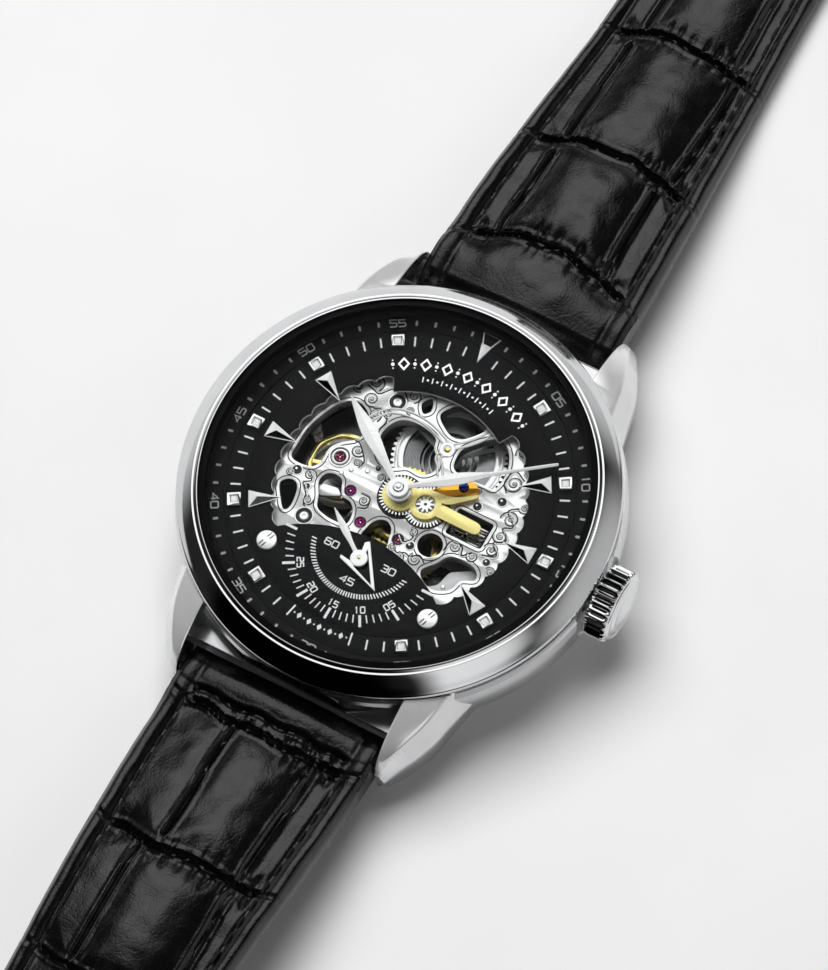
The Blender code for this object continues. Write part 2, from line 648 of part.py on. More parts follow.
def plate_windows():
    """Openings of the skeleton plate, as smooth loops through a few points."""
    loops = [
        # Round the balance, on the left.
        [(-11.6, 2.6), (-11.75, 0.2), (-11.5, -1.2), (-9.6, -1.25), (-8.8, -0.4), (-8.75, 1.3), (-8.0, 2.4),
         (-6.9, 3.3), (-6.4, 4.6), (-7.1, 6.2), (-8.8, 6.9), (-10.4, 5.6)],
        # Over the barrel, left of its pivot.
        [(-4.9, 4.6), (-4.7, 6.1), (-3.8, 7.2), (-2.0, 7.5), (-0.1, 7.0), (0.4, 5.9), (1.3, 5.0), (1.6, 3.9),
         (0.7, 3.0), (-0.9, 3.0), (-2.3, 2.3), (-3.9, 2.6)],
        # Over the barrel, above its pivot.
        [(-0.8, 9.3), (0.4, 8.2), (1.6, 7.8), (2.7, 8.3), (3.9, 9.9), (3.1, 10.8), (1.4, 11.2), (0.0, 10.7)],
        # Over the barrel, right of its pivot.
        [(3.0, 7.3), (4.6, 9.1), (5.8, 9.6), (7.1, 8.8), (7.9, 6.9), (7.7, 4.9), (6.6, 4.75), (4.7, 4.6),
         (3.2, 4.9), (2.8, 6.0)],
        # Over the escape wheel and the pallet fork.
        [(-7.8, -2.1), (-7.2, -1.15), (-6.3, -1.2), (-5.9, -2.0), (-6.2, -2.8), (-7.2, -3.0)],
        [(-5.0, -2.5), (-4.1, -2.5), (-3.4, -3.4), (-3.3, -4.7), (-4.4, -4.8), (-6.2, -4.2), (-6.6, -3.6)],
        # Below the centre.
        [(-1.3, -5.5), (-1.35, -4.2), (-0.9, -3.2), (0.0, -2.8), (0.8, -3.3), (1.1, -4.3), (1.2, -5.5)],
        # Lower right.
        [(5.5, -5.7), (6.4, -4.5), (7.2, -3.3), (8.6, -3.0), (10.1, -3.3), (10.6, -4.3), (9.4, -5.0),
         (8.9, -6.3), (7.5, -7.0), (6.1, -6.6)],
        # Lower left.
        [(-11.2, -4.1), (-10.7, -3.3), (-9.8, -3.3), (-9.3, -4.2), (-9.1, -5.7), (-9.5, -6.3), (-10.3, -5.5)],
        # Top left, beside the barrel arm.
        [(-3.0, 9.6), (-2.4, 8.7), (-1.8, 9.3), (-2.3, 10.4)],
    ]
    slot = [(5.6, -1.3), (9.5, -1.3), (9.5, 1.6), (5.6, 1.6)]
    return [smooth_loop(loop) for loop in loops] + [slot, circle(1.25, (5.0, -3.1), 14)]


def main_plate():
    holes = [circle(radius, spot, 8) for spot, radius in (
        ((-10.4, -2.1), 0.45), ((-8.6, -3.2), 0.35), ((3.3, -4.05), 0.45), ((9.0, 4.0), 0.5),
        ((7.1, 2.5), 0.45), ((10.7, -2.2), 0.4), ((-5.1, 8.6), 0.5), ((-7.2, -6.1), 0.5),
    )]
    pivots = [circle(0.6, spot, 14) for spot in (THIRD, ESCAPE, PALLET, BALANCE)]
    pivots += [circle(0.42, CENTRE, 12), circle(0.25, FOURTH, 10), circle(0.45, BARREL, 12)]
    plate = prism([circle(MOVEMENT_RADIUS, count=RING_SEGMENTS), *plate_windows(), *holes, *pivots], *PLATE)
    union(plate, rod(0.24, PLATE[0] + 0.5, COVER_LEVEL[0] + 0.1, MINUTE_POST))
    channel = box((9.0, -0.6, PLATE[0] - 0.5), (14.0, 0.6, STEM_Z + 0.55))
    inner_channel = box((4.6, -0.55, PLATE[0] - 0.5), (6.0, 0.55, STEM_Z + 0.55))
    keep(cut(plate, channel, inner_channel), "main_plate", "nickel")


def bridges():
    bottom, top = BRIDGE
    post_top = PLATE[0] - 0.05

    def post(angle):
        return rod(0.75, top - 0.1, post_top, polar(12.0, angle), 10)

    outline = arc(12.9, 12.0, 122.0, 14) + [(-4.3, 7.9), (-4.2, 4.2), (-3.2, 3.2), (1.6, 3.0), (5.2, 2.8)]
    bridge = prism([outline, circle(0.5, BARREL, 12), circle(0.3, REDUCTION, 10)], bottom, top)
    keep(union(bridge, post(20.0), post(114.0)), "barrel_bridge", "nickel")

    outline = arc(12.9, -152.0, 6.0, 20)
    outline += [(6.5, 2.3), (1.6, 2.6), (-1.6, 2.4), (-3.6, 0.9), (-5.4, -0.2), (-6.3, -2.6), (-9.6, -4.2)]
    holes = [circle(0.3, spot, 10) for spot in (CENTRE, THIRD, FOURTH, ESCAPE, PALLET)]
    windows = [circle(1.6, (6.2, -4.6), 12), circle(1.3, (-5.4, -7.6), 12)]
    bridge = prism([outline, *holes, *windows], bottom, top)
    keep(union(bridge, post(-146.0), post(-60.0), post(-6.0)), "train_bridge", "nickel")

    outline = arc(12.9, 140.0, 190.0, 8)
    outline += [(-9.6, -1.6), (-7.4, -0.6), (-6.0, 0.2), (-5.7, 1.6), (-6.6, 2.9), (-8.2, 4.4)]
    cock = prism([outline, circle(0.25, BALANCE, 10)], bottom, top)
    keep(union(cock, post(165.0)), "balance_cock", "nickel")


# ---------------------------------------------------------------- barrel

def spiral(centre, inner, outer, turns, width, bottom, top, per_turn=16):
    """Flat spiral ribbon."""
    count = int(turns * per_turn)
    sections = []
    for i in range(count + 1):
        radius = inner + (outer - inner) * i / count
        angle = 360.0 * i / per_turn
        near = polar(radius - width / 2.0, angle, centre)
        far = polar(radius + width / 2.0, angle, centre)
        sections.append([(*near, bottom), (*far, bottom), (*far, top), (*near, top)])
    return loft(sections)


def barrel_group():
    bottom, top = BARREL_LEVEL
    radius = pitch_radius(BARREL_TEETH, CENTRE_PINION_TEETH, distance(BARREL, CENTRE))
    floor = bottom + 0.2
    profile = [(0.7, bottom), (5.4, bottom), (5.4, top), (5.15, top), (5.15, floor), (0.7, floor)]
    drum = turned(profile, BARREL, 30)
    teeth = prism([gear(BARREL_TEETH, radius, BARREL, direction(BARREL, CENTRE)), circle(5.25, BARREL, 30)],
                  *BARREL_TEETH_LEVEL)
    axis = (*BARREL, 0.0)
    keep(union(drum, teeth), "barrel", "nickel", axis)
    cover = prism([circle(5.0, BARREL, 30), circle(0.7, BARREL, 12),
                   *spoke_windows(3, 1.5, 4.1, 1.0, BARREL, 40.0, 7)], top - 0.25, top - 0.02)
    keep(cover, "barrel_cover", "nickel", axis)
    keep(spiral(BARREL, 0.95, 4.75, 5.0, 0.16, bottom + 0.3, top - 0.35), "mainspring", "steel_brushed", axis)
    arbor = turned([
        (0.0, -6.55), (0.38, -6.55), (0.38, -5.4), (0.6, -5.4), (0.6, -2.75), (0.32, -2.75), (0.32, -1.15),
        (0.0, -1.15),
    ], BARREL, 12)
    keep(arbor, "barrel_arbor", "gilt", axis)
    ratchet_radius = pitch_radius(RATCHET_TEETH, REDUCTION_PINION_TEETH, distance(BARREL, REDUCTION))
    ratchet = prism([gear(RATCHET_TEETH, ratchet_radius, BARREL, direction(BARREL, REDUCTION)),
                     circle(0.43, BARREL, 12), *spoke_windows(4, 1.3, 2.9, 0.6, BARREL)], *RATCHET_LEVEL)
    keep(ratchet, "ratchet_wheel", "nickel", axis)
    tip = polar(ratchet_radius + 0.35, 12.0, BARREL)
    hub = rod(0.6, RATCHET_LEVEL[0] + 0.02, RATCHET_LEVEL[1] - 0.02, CLICK, 12)
    click = union(bar(CLICK, tip, 0.5, *RATCHET_LEVEL), hub)
    keep(click, "click", "steel_polished", (*CLICK, 0.0))


# ---------------------------------------------------------------- going train

def arbor(centre, radius, bottom, top, pivot_top):
    """Arbor with a thinner pivot above, in its jewel, and one below, in the bridge."""
    pivot = 0.1
    return turned([
        (0.0, BRIDGE[1] - 0.5), (0.18, BRIDGE[1] - 0.5), (0.18, bottom), (radius, bottom), (radius, top),
        (pivot, top), (pivot, pivot_top), (0.0, pivot_top),
    ], centre, 10)


def train():
    under_plate = PLATE[0] - 0.08
    over_bridge = BRIDGE[1] + 0.06
    jewel_top = PLATE[1] - 0.1

    centre_radius = pitch_radius(CENTRE_TEETH, THIRD_PINION_TEETH, distance(CENTRE, THIRD))
    pinion_radius = pitch_radius(CENTRE_PINION_TEETH, BARREL_TEETH, distance(CENTRE, BARREL))
    to_third = direction(CENTRE, THIRD)
    wheel = prism([gear(CENTRE_TEETH, centre_radius, CENTRE, to_third),
                   *spoke_windows(4, 1.1, 3.2, 0.5, CENTRE, 20.0, 5)], *CENTRE_LEVEL)
    gap = 180.0 / CENTRE_PINION_TEETH
    meshed_at = direction(CENTRE, BARREL) + gap
    leaves = gear(CENTRE_PINION_TEETH, pinion_radius, CENTRE, meshed_at, fine=False)
    pinion = prism([leaves], BARREL_TEETH_LEVEL[0] - 0.1, BARREL_TEETH_LEVEL[1] + 0.1)
    shaft = turned([
        (0.0, BRIDGE[1] - 0.5), (0.2, BRIDGE[1] - 0.5), (0.2, over_bridge), (0.33, over_bridge),
        (0.33, under_plate), (0.24, under_plate), (0.24, -0.4), (0.0, -0.4),
    ], CENTRE, 10)
    keep(union(shaft, wheel, pinion), "centre_wheel", "gilt")

    third_radius = pitch_radius(THIRD_TEETH, FOURTH_PINION_TEETH, distance(THIRD, FOURTH))
    pinion_radius = pitch_radius(THIRD_PINION_TEETH, CENTRE_TEETH, distance(CENTRE, THIRD))
    gap = 180.0 / THIRD_PINION_TEETH
    wheel = prism([gear(THIRD_TEETH, third_radius, THIRD, direction(THIRD, FOURTH)),
                   *spoke_windows(4, 1.0, 3.1, 0.45, THIRD, 0.0, 4)], *THIRD_LEVEL)
    pinion = prism([gear(THIRD_PINION_TEETH, pinion_radius, THIRD, to_third + 180.0 + gap, fine=False)],
                   CENTRE_LEVEL[0] - 0.1, CENTRE_LEVEL[1] + 0.1)
    keep(union(arbor(THIRD, 0.25, over_bridge, under_plate, jewel_top), wheel, pinion), "third_wheel", "gilt",
         (*THIRD, 0.0))

    fourth_radius = pitch_radius(FOURTH_TEETH, ESCAPE_PINION_TEETH, distance(FOURTH, ESCAPE))
    pinion_radius = pitch_radius(FOURTH_PINION_TEETH, THIRD_TEETH, distance(THIRD, FOURTH))
    gap = 180.0 / FOURTH_PINION_TEETH
    wheel = prism([gear(FOURTH_TEETH, fourth_radius, FOURTH, direction(FOURTH, ESCAPE)),
                   *spoke_windows(4, 1.0, 3.2, 0.45, FOURTH, 10.0, 4)], *FOURTH_LEVEL)
    leaves = gear(FOURTH_PINION_TEETH, pinion_radius, FOURTH, direction(FOURTH, THIRD) + gap, fine=False)
    pinion = prism([leaves], THIRD_LEVEL[0] - 0.1, THIRD_LEVEL[1] + 0.1)
    seconds_pivot = rod(0.15, -3.0, 0.5, FOURTH, 10)
    keep(union(arbor(FOURTH, 0.25, over_bridge, under_plate, PLATE[1] - 0.3), wheel, pinion, seconds_pivot),
         "fourth_wheel", "gilt", (*FOURTH, 0.0))

    pinion_radius = pitch_radius(ESCAPE_PINION_TEETH, FOURTH_TEETH, distance(FOURTH, ESCAPE))
    gap = 180.0 / ESCAPE_PINION_TEETH
    leaves = gear(ESCAPE_PINION_TEETH, pinion_radius, ESCAPE, direction(ESCAPE, FOURTH) + gap, fine=False)
    pinion = prism([leaves], FOURTH_LEVEL[0] - 0.08, FOURTH_LEVEL[1] + 0.08)
    staff = arbor(ESCAPE, 0.12, over_bridge, under_plate, jewel_top)
    keep(union(staff, escape_disc(), pinion), "escape_wheel", "steel_polished", (*ESCAPE, 0.0))


def escape_disc():
    """Escape wheel with slanted club teeth."""
    pitch = 360.0 / ESCAPE_TEETH
    outline = []
    for i in range(ESCAPE_TEETH):
        angle = pitch * i
        outline.append(polar(1.62, angle, ESCAPE))
        outline.append(polar(2.1, angle + 0.45 * pitch, ESCAPE))
        outline.append(polar(2.02, angle + 0.65 * pitch, ESCAPE))
        outline.append(polar(1.62, angle + 0.5 * pitch, ESCAPE))
    return prism([outline, *spoke_windows(4, 0.45, 1.3, 0.25, ESCAPE, 0.0, 4)], *ESCAPE_LEVEL)


def escapement():
    bottom, top = ESCAPE_LEVEL
    along = Vector(BALANCE) - Vector(PALLET)
    reach = along.length
    along.normalize()
    across = Vector((-along.y, along.x))

    def at(forward, side):
        spot = Vector(PALLET) + along * forward + across * side
        return (spot.x, spot.y)

    lever = prism([[at(0.5, 0.28), at(reach - 0.8, 0.14), at(reach - 0.75, -0.14), at(0.5, -0.28),
                    at(-0.3, -0.5), at(-1.5, -1.75), at(-1.85, -1.6), at(-1.6, -1.15), at(-0.75, -0.2),
                    at(-0.75, 0.2), at(-1.6, 1.15), at(-1.85, 1.6), at(-1.5, 1.75), at(-0.3, 0.5)]],
                  bottom, top)
    staff = arbor(PALLET, 0.12, BRIDGE[1] + 0.06, PLATE[0] - 0.08, PLATE[1] - 0.1)
    keep(union(lever, staff), "pallet_fork", "steel_polished", (*PALLET, 0.0))

    rim = prism([circle(3.5, BALANCE, 36), circle(3.1, BALANCE, 36)], *BALANCE_LEVEL)
    spokes = prism([circle(3.3, BALANCE, 36), *spoke_windows(3, 0.7, 3.05, 0.42, BALANCE, 75.0, 7)],
                   BALANCE_LEVEL[0] + 0.15, BALANCE_LEVEL[1] - 0.15)
    staff = turned([
        (0.0, BRIDGE[1] - 0.4), (0.12, BRIDGE[1] - 0.4), (0.12, -5.45), (0.6, -5.45), (0.6, -5.25),
        (0.22, -5.25), (0.22, PLATE[0] - 0.1), (0.1, PLATE[0] - 0.1), (0.1, PLATE[1] - 0.1),
        (0.0, PLATE[1] - 0.1),
    ], BALANCE, 10)
    keep(union(rim, spokes, staff), "balance_wheel", "gilt", (*BALANCE, 0.0))
    keep(spiral(BALANCE, 0.5, 1.8, 3.0, 0.07, *HAIRSPRING_LEVEL), "hairspring", "steel_polished")

    for name, spot in (("balance_jewel", BALANCE), ("pallet_jewel", PALLET), ("escape_jewel", ESCAPE),
                       ("third_jewel", THIRD)):
        ring = turned([(0.16, PLATE[1] - 0.5), (0.55, PLATE[1] - 0.5), (0.55, PLATE[1] - 0.05),
                       (0.3, PLATE[1] - 0.02), (0.16, PLATE[1] - 0.12)], spot, 12)
        keep(ring, name, "ruby")


# ---------------------------------------------------------------- automatic winding

def winding():
    rotor_pinion_radius = pitch_radius(ROTOR_PINION_TEETH, REDUCTION_TEETH, distance(CENTRE, REDUCTION))
    reduction_radius = distance(CENTRE, REDUCTION) - rotor_pinion_radius
    pinion_radius = pitch_radius(REDUCTION_PINION_TEETH, RATCHET_TEETH, distance(BARREL, REDUCTION))
    to_reduction = direction(CENTRE, REDUCTION)

    gap = 180.0 / REDUCTION_TEETH
    wheel = prism([gear(REDUCTION_TEETH, reduction_radius, REDUCTION, to_reduction + 180.0 + gap),
                   *spoke_windows(4, 1.2, 3.3, 0.5, REDUCTION, steps=4)], *REDUCTION_LEVEL)
    gap = 180.0 / REDUCTION_PINION_TEETH
    meshed_at = direction(REDUCTION, BARREL) + gap
    leaves = gear(REDUCTION_PINION_TEETH, pinion_radius, REDUCTION, meshed_at, fine=False)
    pinion = prism([leaves], REDUCTION_LEVEL[1] - 0.05, RATCHET_LEVEL[1] + 0.02)
    pivot = rod(0.22, REDUCTION_LEVEL[0], BRIDGE[1] - 0.1, REDUCTION)
    keep(union(wheel, pinion, pivot), "reduction_wheel", "gilt", (*REDUCTION, 0.0))

    bearing = [(0.0, BRIDGE[0] - 0.05), (0.45, BRIDGE[0] - 0.05), (0.45, -7.75), (1.1, -7.75),
               (1.1, -7.95), (0.0, -7.95)]
    keep(turned(bearing, CENTRE, SMALL_SEGMENTS), "rotor_bearing", "steel_polished")

    bottom, top = ROTOR_LEVEL
    start = 200.0
    end = 380.0
    blade = prism([arc(12.0, start, end, 17) + arc(1.2, end, start, 7)], bottom, top)
    rim = arc(12.8, start + 1.0, end - 1.0, 25) + arc(10.7, end - 1.0, start + 1.0, 21)
    weight = prism([rim], -7.9, -6.98)
    hub = rod(1.6, bottom - 0.3, top + 0.05, CENTRE, 20)
    leaves = prism([gear(ROTOR_PINION_TEETH, rotor_pinion_radius, CENTRE, to_reduction, fine=False)],
                   top - 0.1, REDUCTION_LEVEL[1] + 0.05)
    bore = rod(0.52, -9.0, -6.0, CENTRE, SMALL_SEGMENTS)
    keep(cut(union(hub, blade, weight, leaves), bore), "rotor", "nickel")


# ---------------------------------------------------------------- strap

def smooth_line(points, cuts):
    """Open Catmull-Rom curve through the points."""
    padded = [2.0 * Vector(points[0]) - Vector(points[1])] + [Vector(p) for p in points]
    padded.append(2.0 * Vector(points[-1]) - Vector(points[-2]))
    result = []
    for i in range(len(points) - 1):
        p0, p1, p2, p3 = padded[i:i + 4]
        for j in range(cuts):
            t = j / cuts
            result.append(0.5 * (2.0 * p1 + (p2 - p0) * t + (2.0 * p0 - 5.0 * p1 + 4.0 * p2 - p3) * t * t
                                 + (3.0 * p1 - p0 - 3.0 * p2 + p3) * t ** 3))
    result.append(Vector(points[-1]))
    return result


def ease(value, low, high):
    share = min(1.0, max(0.0, (value - low) / (high - low)))
    return share * share * (3.0 - 2.0 * share)


def strap_width(run):
    """Full width at a distance along the strap from its spring bar."""
    return STRAP_WIDTH - (STRAP_WIDTH - STRAP_END_WIDTH) * ease(run, 2.0, 48.0)


def strap_thickness(run):
    return STRAP_THICKNESS - (STRAP_THICKNESS - STRAP_THIN) * ease(run, 6.0, 45.0)


def strap_body(side, line, end_loop):
    """Leather strap on one side of the case, rounded over its bar, with a crowned top.

    end_loop is the radius of the fold over the buckle bar, or 0 for a tail with a rounded tip.
    """
    path = smooth_line(line, 3)
    runs = [0.0]
    for before, after in zip(path, path[1:]):
        runs.append(runs[-1] + (after - before).length)
    length = runs[-1]
    stations = []
    for degrees in (15.0, 40.0, 65.0):
        reach = STRAP_END_RADIUS * math.cos(math.radians(degrees))
        heading = (path[1] - path[0]).normalized()
        stations.append((path[0] - heading * reach, heading, STRAP_WIDTH,
                         2.0 * STRAP_END_RADIUS * math.sin(math.radians(degrees))))
    for i, (spot, run) in enumerate(zip(path, runs)):
        heading = (path[min(i + 1, len(path) - 1)] - path[max(i - 1, 0)]).normalized()
        width = strap_width(run)
        thickness = strap_thickness(run)
        if not end_loop:
            share = max(0.0, (run - (length - 12.0)) / 12.0)
            width *= math.sqrt(max(0.08, 1.0 - share * share))
        stations.append((spot, heading, width, thickness))
    if end_loop:
        heading = stations[-1][1]
        for degrees in (65.0, 40.0, 15.0):
            reach = end_loop * math.cos(math.radians(degrees))
            stations.append((path[-1] + heading * reach, heading, STRAP_END_WIDTH,
                             2.0 * end_loop * math.sin(math.radians(degrees))))
    sections = []
    for spot, heading, width, thickness in stations:
        up = Vector((-heading.y, heading.x))
        half = width / 2.0
        low = -thickness / 2.0
        outline = [(-half, low), (half, low), (half, 0.35 * thickness), (0.72 * half, 0.5 * thickness),
                   (-0.72 * half, 0.5 * thickness), (-half, 0.35 * thickness)]
        section = []
        for u, v in outline:
            point = spot + up * v
            section.append((u, side * point.x, point.y))
        sections.append(section)
    strap = loft(sections)
    return cut(strap, rod_x(SPRING_BAR_RADIUS + 0.1, -15.0, 15.0, side * line[0][0], line[0][1]))


def straps():
    pivot = (0.0, SPRING_BAR_Y, SPRING_BAR_Z)
    strap = strap_body(1.0, BUCKLE_SIDE_LINE, BUCKLE_LOOP_RADIUS)
    bar_y, bar_z = BUCKLE_SIDE_LINE[-1]
    cut(strap, rod_x(BUCKLE_BAR_RADIUS + 0.1, -12.0, 12.0, bar_y, bar_z),
        box((-1.5, bar_y - 2.6, bar_z - 3.0), (1.5, bar_y + 3.0, bar_z + 3.0)))
    keep(strap, "strap_buckle_side", "leather", pivot)

    tail = strap_body(-1.0, TAIL_SIDE_LINE, 0.0)
    first_hole = 74.0
    spots = [(0.0, -first_hole - STRAP_HOLE_PITCH * i) for i in range(7)]
    holes = [rod(STRAP_HOLE_RADIUS, -12.0, 4.0, spot, 10) for spot in spots]
    keep(cut(tail, *holes), "strap_tail_side", "leather", (0.0, -SPRING_BAR_Y, SPRING_BAR_Z))

    for name, side in (("spring_bar_top", 1.0), ("spring_bar_bottom", -1.0)):
        spot = (side * SPRING_BAR_Y, SPRING_BAR_Z)
        body = union(rod_x(SPRING_BAR_RADIUS, -10.85, 10.85, *spot, 14), rod_x(0.42, -12.0, 12.0, *spot, 10))
        keep(body, name, "steel_brushed")


def keeper(name, y, thickness_here):
    """Leather loop round the flat stretch of the buckle side."""
    height = BUCKLE_SIDE_LINE[6][1]
    wide = STRAP_END_WIDTH / 2.0 + 0.35
    low = height - thickness_here / 2.0 - 0.12
    high = height + thickness_here / 2.0 + 2.9
    wall = 1.0
    outer = [(-wide - wall, low - wall), (wide + wall, low - wall), (wide + wall, high + wall),
             (-wide - wall, high + wall)]
    inner = [(-wide, low), (wide, low), (wide, high), (-wide, high)]
    half = 2.4
    rows = []
    for outline, y_spot in ((outer, y - half), (outer, y + half), (inner, y + half), (inner, y - half)):
        rows.append([(x, y_spot, z) for x, z in outline])
    loop = loft(rows, closed=True)
    keep(loop, name, "leather", (0.0, y, height))


def buckle():
    bar_y, bar_z = BUCKLE_SIDE_LINE[-1]
    inner = STRAP_END_WIDTH / 2.0 + 0.3
    outer = inner + 2.0
    front = bar_y + 8.6
    # Ears run back to the bar and a rounded front bar closes the frame.
    back = bar_y - 1.5
    outline = [(-outer, back), (-inner, back), (-inner, front), (inner, front), (inner, back),
               (outer, back), (outer, front + 0.8), (outer - 1.2, front + 2.4),
               (-outer + 1.2, front + 2.4), (-outer, front + 0.8)]
    frame = prism([outline], bar_z - 1.55, bar_z + 1.2)
    pivot = (0.0, bar_y, bar_z)
    bar_hole = rod_x(0.5, -inner - 1.2, inner + 1.2, bar_y, bar_z, 10)
    keep(cut(frame, bar_hole), "buckle_frame", "steel_polished", pivot)
    pin = union(rod_x(BUCKLE_BAR_RADIUS, -inner + 0.1, inner - 0.1, bar_y, bar_z, 14),
                rod_x(0.42, -inner - 1.1, inner + 1.1, bar_y, bar_z, 10))
    keep(pin, "buckle_bar", "steel_brushed", pivot)
    roll = cut(rod_x(1.35, -1.1, 1.1, bar_y, bar_z, 18), rod_x(0.78, -2.0, 2.0, bar_y, bar_z, 14))
    rise = bar_z + 1.27
    arm = loft([[(x, y, z) for x, z in ((-w, low), (w, low), (w, low + 0.9), (-w, low + 0.9))]
                for y, w, low in ((bar_y + 1.0, 1.0, bar_z - 0.2), (bar_y + 4.0, 1.0, bar_z + 0.4),
                                  (front - 0.6, 0.9, rise), (front + 2.2, 0.8, rise))])
    keep(union(roll, arm), "buckle_tongue", "steel_polished", pivot)


# ---------------------------------------------------------------- the watch

for old in list(bpy.data.objects):
    bpy.data.objects.remove(old)

MATERIALS = make_materials()
case_band()
case_rings()
crown_group()
keyless_works()
dial_group()
hands()
motion_work()
motion_cover()
main_plate()
bridges()
barrel_group()
train()
escapement()
winding()
straps()
keeper("fixed_keeper", 87.6, STRAP_THIN)
keeper("free_keeper", 80.0, STRAP_THIN)
buckle()
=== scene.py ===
"""Looks of the skeleton wristwatch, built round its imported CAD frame.

Shape functions take millimetres and measure heights from the dial's face, as the CAD part does. The frame
is +Z up out of the dial, +Y towards 12 o'clock and +X towards the crown.
"""

import json
import math

import bmesh
import bpy
import numpy as np
from mathutils import Matrix, Vector, noise
from mathutils.geometry import tessellate_polygon


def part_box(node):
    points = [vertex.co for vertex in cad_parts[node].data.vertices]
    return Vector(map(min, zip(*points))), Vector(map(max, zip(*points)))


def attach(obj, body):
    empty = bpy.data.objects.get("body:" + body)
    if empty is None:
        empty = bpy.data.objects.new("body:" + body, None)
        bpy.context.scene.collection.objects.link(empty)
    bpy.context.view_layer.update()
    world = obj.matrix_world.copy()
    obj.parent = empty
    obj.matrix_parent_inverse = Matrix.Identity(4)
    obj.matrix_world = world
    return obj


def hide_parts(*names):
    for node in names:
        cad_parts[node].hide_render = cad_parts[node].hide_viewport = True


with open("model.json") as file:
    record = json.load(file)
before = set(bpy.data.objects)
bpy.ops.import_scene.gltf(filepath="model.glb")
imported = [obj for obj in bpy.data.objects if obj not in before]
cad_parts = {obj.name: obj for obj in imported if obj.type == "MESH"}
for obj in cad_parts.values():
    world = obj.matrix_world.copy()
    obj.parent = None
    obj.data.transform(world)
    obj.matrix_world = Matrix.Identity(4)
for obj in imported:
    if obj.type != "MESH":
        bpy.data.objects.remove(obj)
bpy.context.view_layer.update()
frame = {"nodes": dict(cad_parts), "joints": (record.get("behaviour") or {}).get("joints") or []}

MM = 0.001
DIAL_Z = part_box("dial")[1].z / MM


def node_box(node):
    """Lowest and highest corner of a CAD node, in millimetres, with heights from the dial's face."""
    low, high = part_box(node)
    shift = Vector((0.0, 0.0, DIAL_Z))
    return low / MM - shift, high / MM - shift


def pivot(joint):
    """Plan position of a joint's axis, in millimetres."""
    row = next(row for row in frame["joints"] if row["name"] == joint)
    return (row["pos_m"][0] / MM, row["pos_m"][1] / MM)


# Sizes in millimetres, from the frame's own boxes and joints where these give them.
CASE_RADIUS = 22.0
BEZEL_RADIUS = node_box("bezel")[1].x
CRYSTAL_RADIUS = node_box("crystal")[1].x
DIAL_RADIUS = node_box("dial")[1].x
BACK_FACE = node_box("case_back")[0].z
MOVEMENT_RADIUS = 12.95
PLATE_TOP = -1.2
PLATE_BOTTOM = -2.6
LUG_GAP = 22.0
END_FLAT_Y = 21.25
BAR_Y = pivot("strap_buckle_side_hinge")[1]
BAR_Z = (node_box("spring_bar_top")[0].z + node_box("spring_bar_top")[1].z) / 2.0
STEM_Z = (node_box("crown")[0].z + node_box("crown")[1].z) / 2.0
CROWN_START = node_box("crown")[0].x
CROWN_END = node_box("crown")[1].x
CROWN_RADIUS = (node_box("crown")[1].z - node_box("crown")[0].z) / 2.0

CENTRE = pivot("minute_turn")
FOURTH = pivot("seconds_turn")
THIRD = pivot("third_wheel_turn")
ESCAPE = pivot("escape_wheel_turn")
PALLET = pivot("pallet_swing")
BALANCE = pivot("balance_swing")
BARREL = pivot("barrel_turn")
MINUTE_POST = pivot("minute_wheel_turn")

# Clock angles of the hands, in degrees from 12 o'clock.
HOUR_ANGLE = 305.7
MINUTE_ANGLE = 53.9
SECONDS_ANGLE = 306.7
# Middle of the small seconds scale, and the height of the sunken minute track.
SCALE_CENTRE_Y = -6.46
TRACK_Z = -0.06


# ---------------------------------------------------------------- materials

def add_node(tree, kind, inputs, output=0, **settings):
    """Add a shader node with its inputs linked or set, and hand back one of its outputs."""
    node = tree.nodes.new("ShaderNode" + kind)
    for setting, value in settings.items():
        setattr(node, setting, value)
    for socket, value in inputs.items():
        if isinstance(value, bpy.types.NodeSocket):
            tree.links.new(value, node.inputs[socket])
        else:
            node.inputs[socket].default_value = value
    return node.outputs[output]


